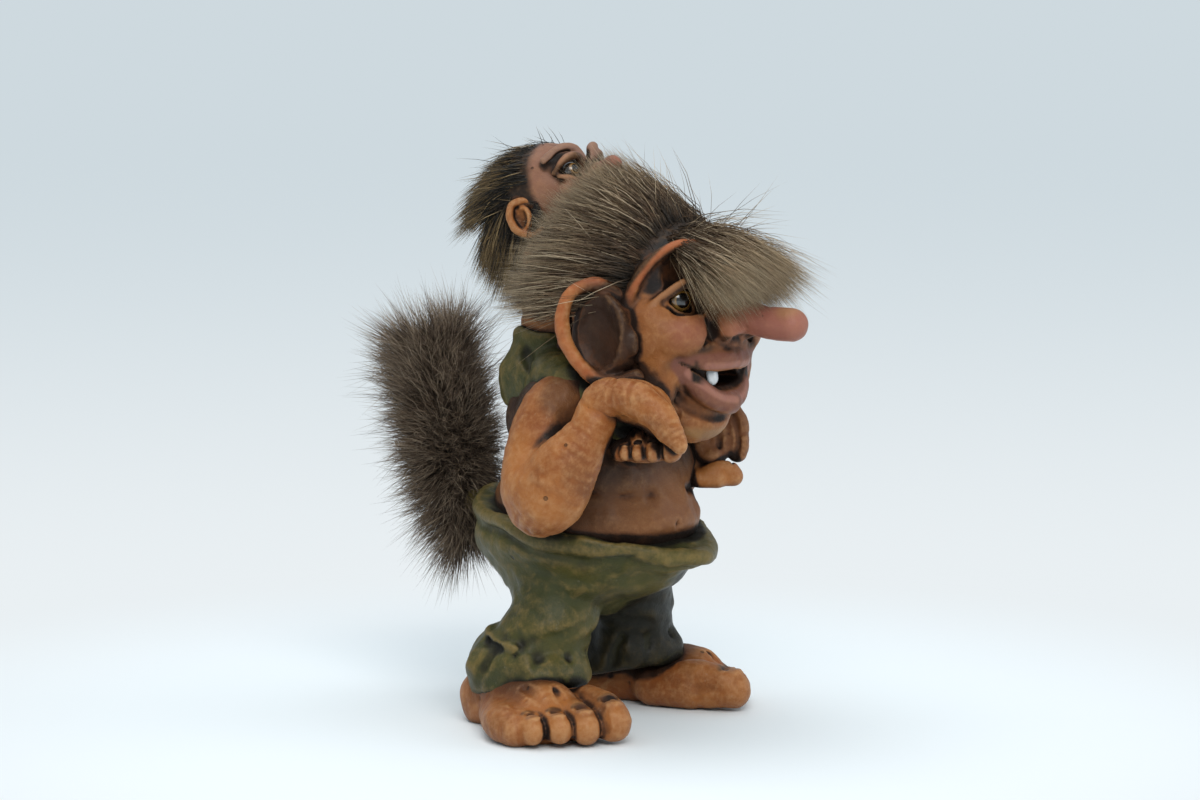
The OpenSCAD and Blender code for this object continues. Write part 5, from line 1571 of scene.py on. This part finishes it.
# The floor is lit near the figure and keeps its shadow. Further off the camera sees the sweep's own colour, a
# share that grows with the distance. Its tone runs from the floor's to the wall's as 1 / distance from a spot falls
sweep = dict(base=(0.80, 0.845, 0.865), near=(0.823, 0.871, 0.896), wall=(0.617, 0.694, 0.737), width=14.0)
floorPaint = Paint("paleSweep", Roughness=0.85)
floorPaint.shader.inputs["Specular IOR Level"].default_value = 0.1
drift = floorPaint.noise(0.8, 2)
floorPaint.feed(Base_Color=floorPaint.mix(drift * 0.3, sweep["base"], (0.81, 0.85, 0.87)),
                Roughness=0.8 + 0.05 * drift)
around = floorPaint.add("ShaderNodeVectorMath", dict(operation="LENGTH"), [floorPaint.spot], "Value")
foot = (-0.676, -0.516, 0.0)
span = floorPaint.add("ShaderNodeVectorMath", dict(operation="DISTANCE"), [floorPaint.spot, foot], "Value")
tone = floorPaint.mix((0.171 * span ** -1.0).between(0.01, 0.165), sweep["wall"], sweep["near"])
glow = floorPaint.add("ShaderNodeEmission", {}, [tone])
share = around.between(0.09, 0.27) * floorPaint.add("ShaderNodeLightPath", out="Is Camera Ray")
blend = floorPaint.add("ShaderNodeMixShader", {}, [share, Wire(floorPaint, floorPaint.shader.outputs[0]), glow])
floorPaint.put(floorPaint.tree.nodes["Material Output"].inputs[0], blend)
w = sweep["width"]
floorMesh = bpy.data.meshes.new("sweepFloor")
floorMesh.from_pydata([(-w, -w, 0), (w, -w, 0), (w, w, 0), (-w, w, 0)], [], [(0, 1, 2, 3)])
floorMesh.materials.append(floorPaint.material)
floor = bpy.data.objects.new("sweepFloor", floorMesh)
bpy.context.scene.collection.objects.link(floor)

lamps = [dict(name="windowLamp", at=(-0.9, -0.9, 1.1), size=(0.9, 0.9), power=15.0, colour=(1.0, 0.99, 0.97)),
         dict(name="fillLamp", at=(0.9, -1.3, 0.6), size=(0.9, 0.9), power=5.0, colour=(0.95, 0.98, 1.0)),
         dict(name="topLamp", at=(-0.1, 0.3, 1.5), size=(1.2, 1.2), power=9.0, colour=(0.97, 0.99, 1.0))]
for lamp in lamps:
    data = bpy.data.lights.new(lamp["name"], "AREA")
    data.shape, data.size, data.size_y = "RECTANGLE", *lamp["size"]
    data.energy, data.color = lamp["power"], lamp["colour"]
    obj = bpy.data.objects.new(lamp["name"], data)
    obj.location = lamp["at"]
    obj.rotation_euler = (Vector((0, 0, 0.08)) - Vector(lamp["at"])).to_track_quat("-Z", "Y").to_euler()
    bpy.context.scene.collection.objects.link(obj)

# The world: the wall's colour for the camera and for what shows through glass, and a soft even light for the rest
world = bpy.data.worlds.new("studio")
bpy.context.scene.world = world
world.use_nodes = True
tree = world.node_tree
tree.nodes.clear()
rays, seen, lit, either, choose, out = [tree.nodes.new("ShaderNode" + kind) for kind in (
    "LightPath", "Background", "Background", "Math", "MixShader", "OutputWorld")]
seen.inputs[0].default_value = (*sweep["wall"], 1)
lit.inputs[0].default_value = (0.502, 0.55625, 0.5935, 1)
either.operation, either.use_clamp = "ADD", True
for source, socket in ((rays.outputs["Is Camera Ray"], either.inputs[0]),
                       (rays.outputs["Is Transmission Ray"], either.inputs[1]),
                       (either.outputs[0], choose.inputs[0]), (lit.outputs[0], choose.inputs[1]),
                       (seen.outputs[0], choose.inputs[2]), (choose.outputs[0], out.inputs[0])):
    tree.links.new(source, socket)
bpy.context.scene.view_settings.view_transform = "Standard"

bpy.context.view_layer.update()
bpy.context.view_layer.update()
report("ready")
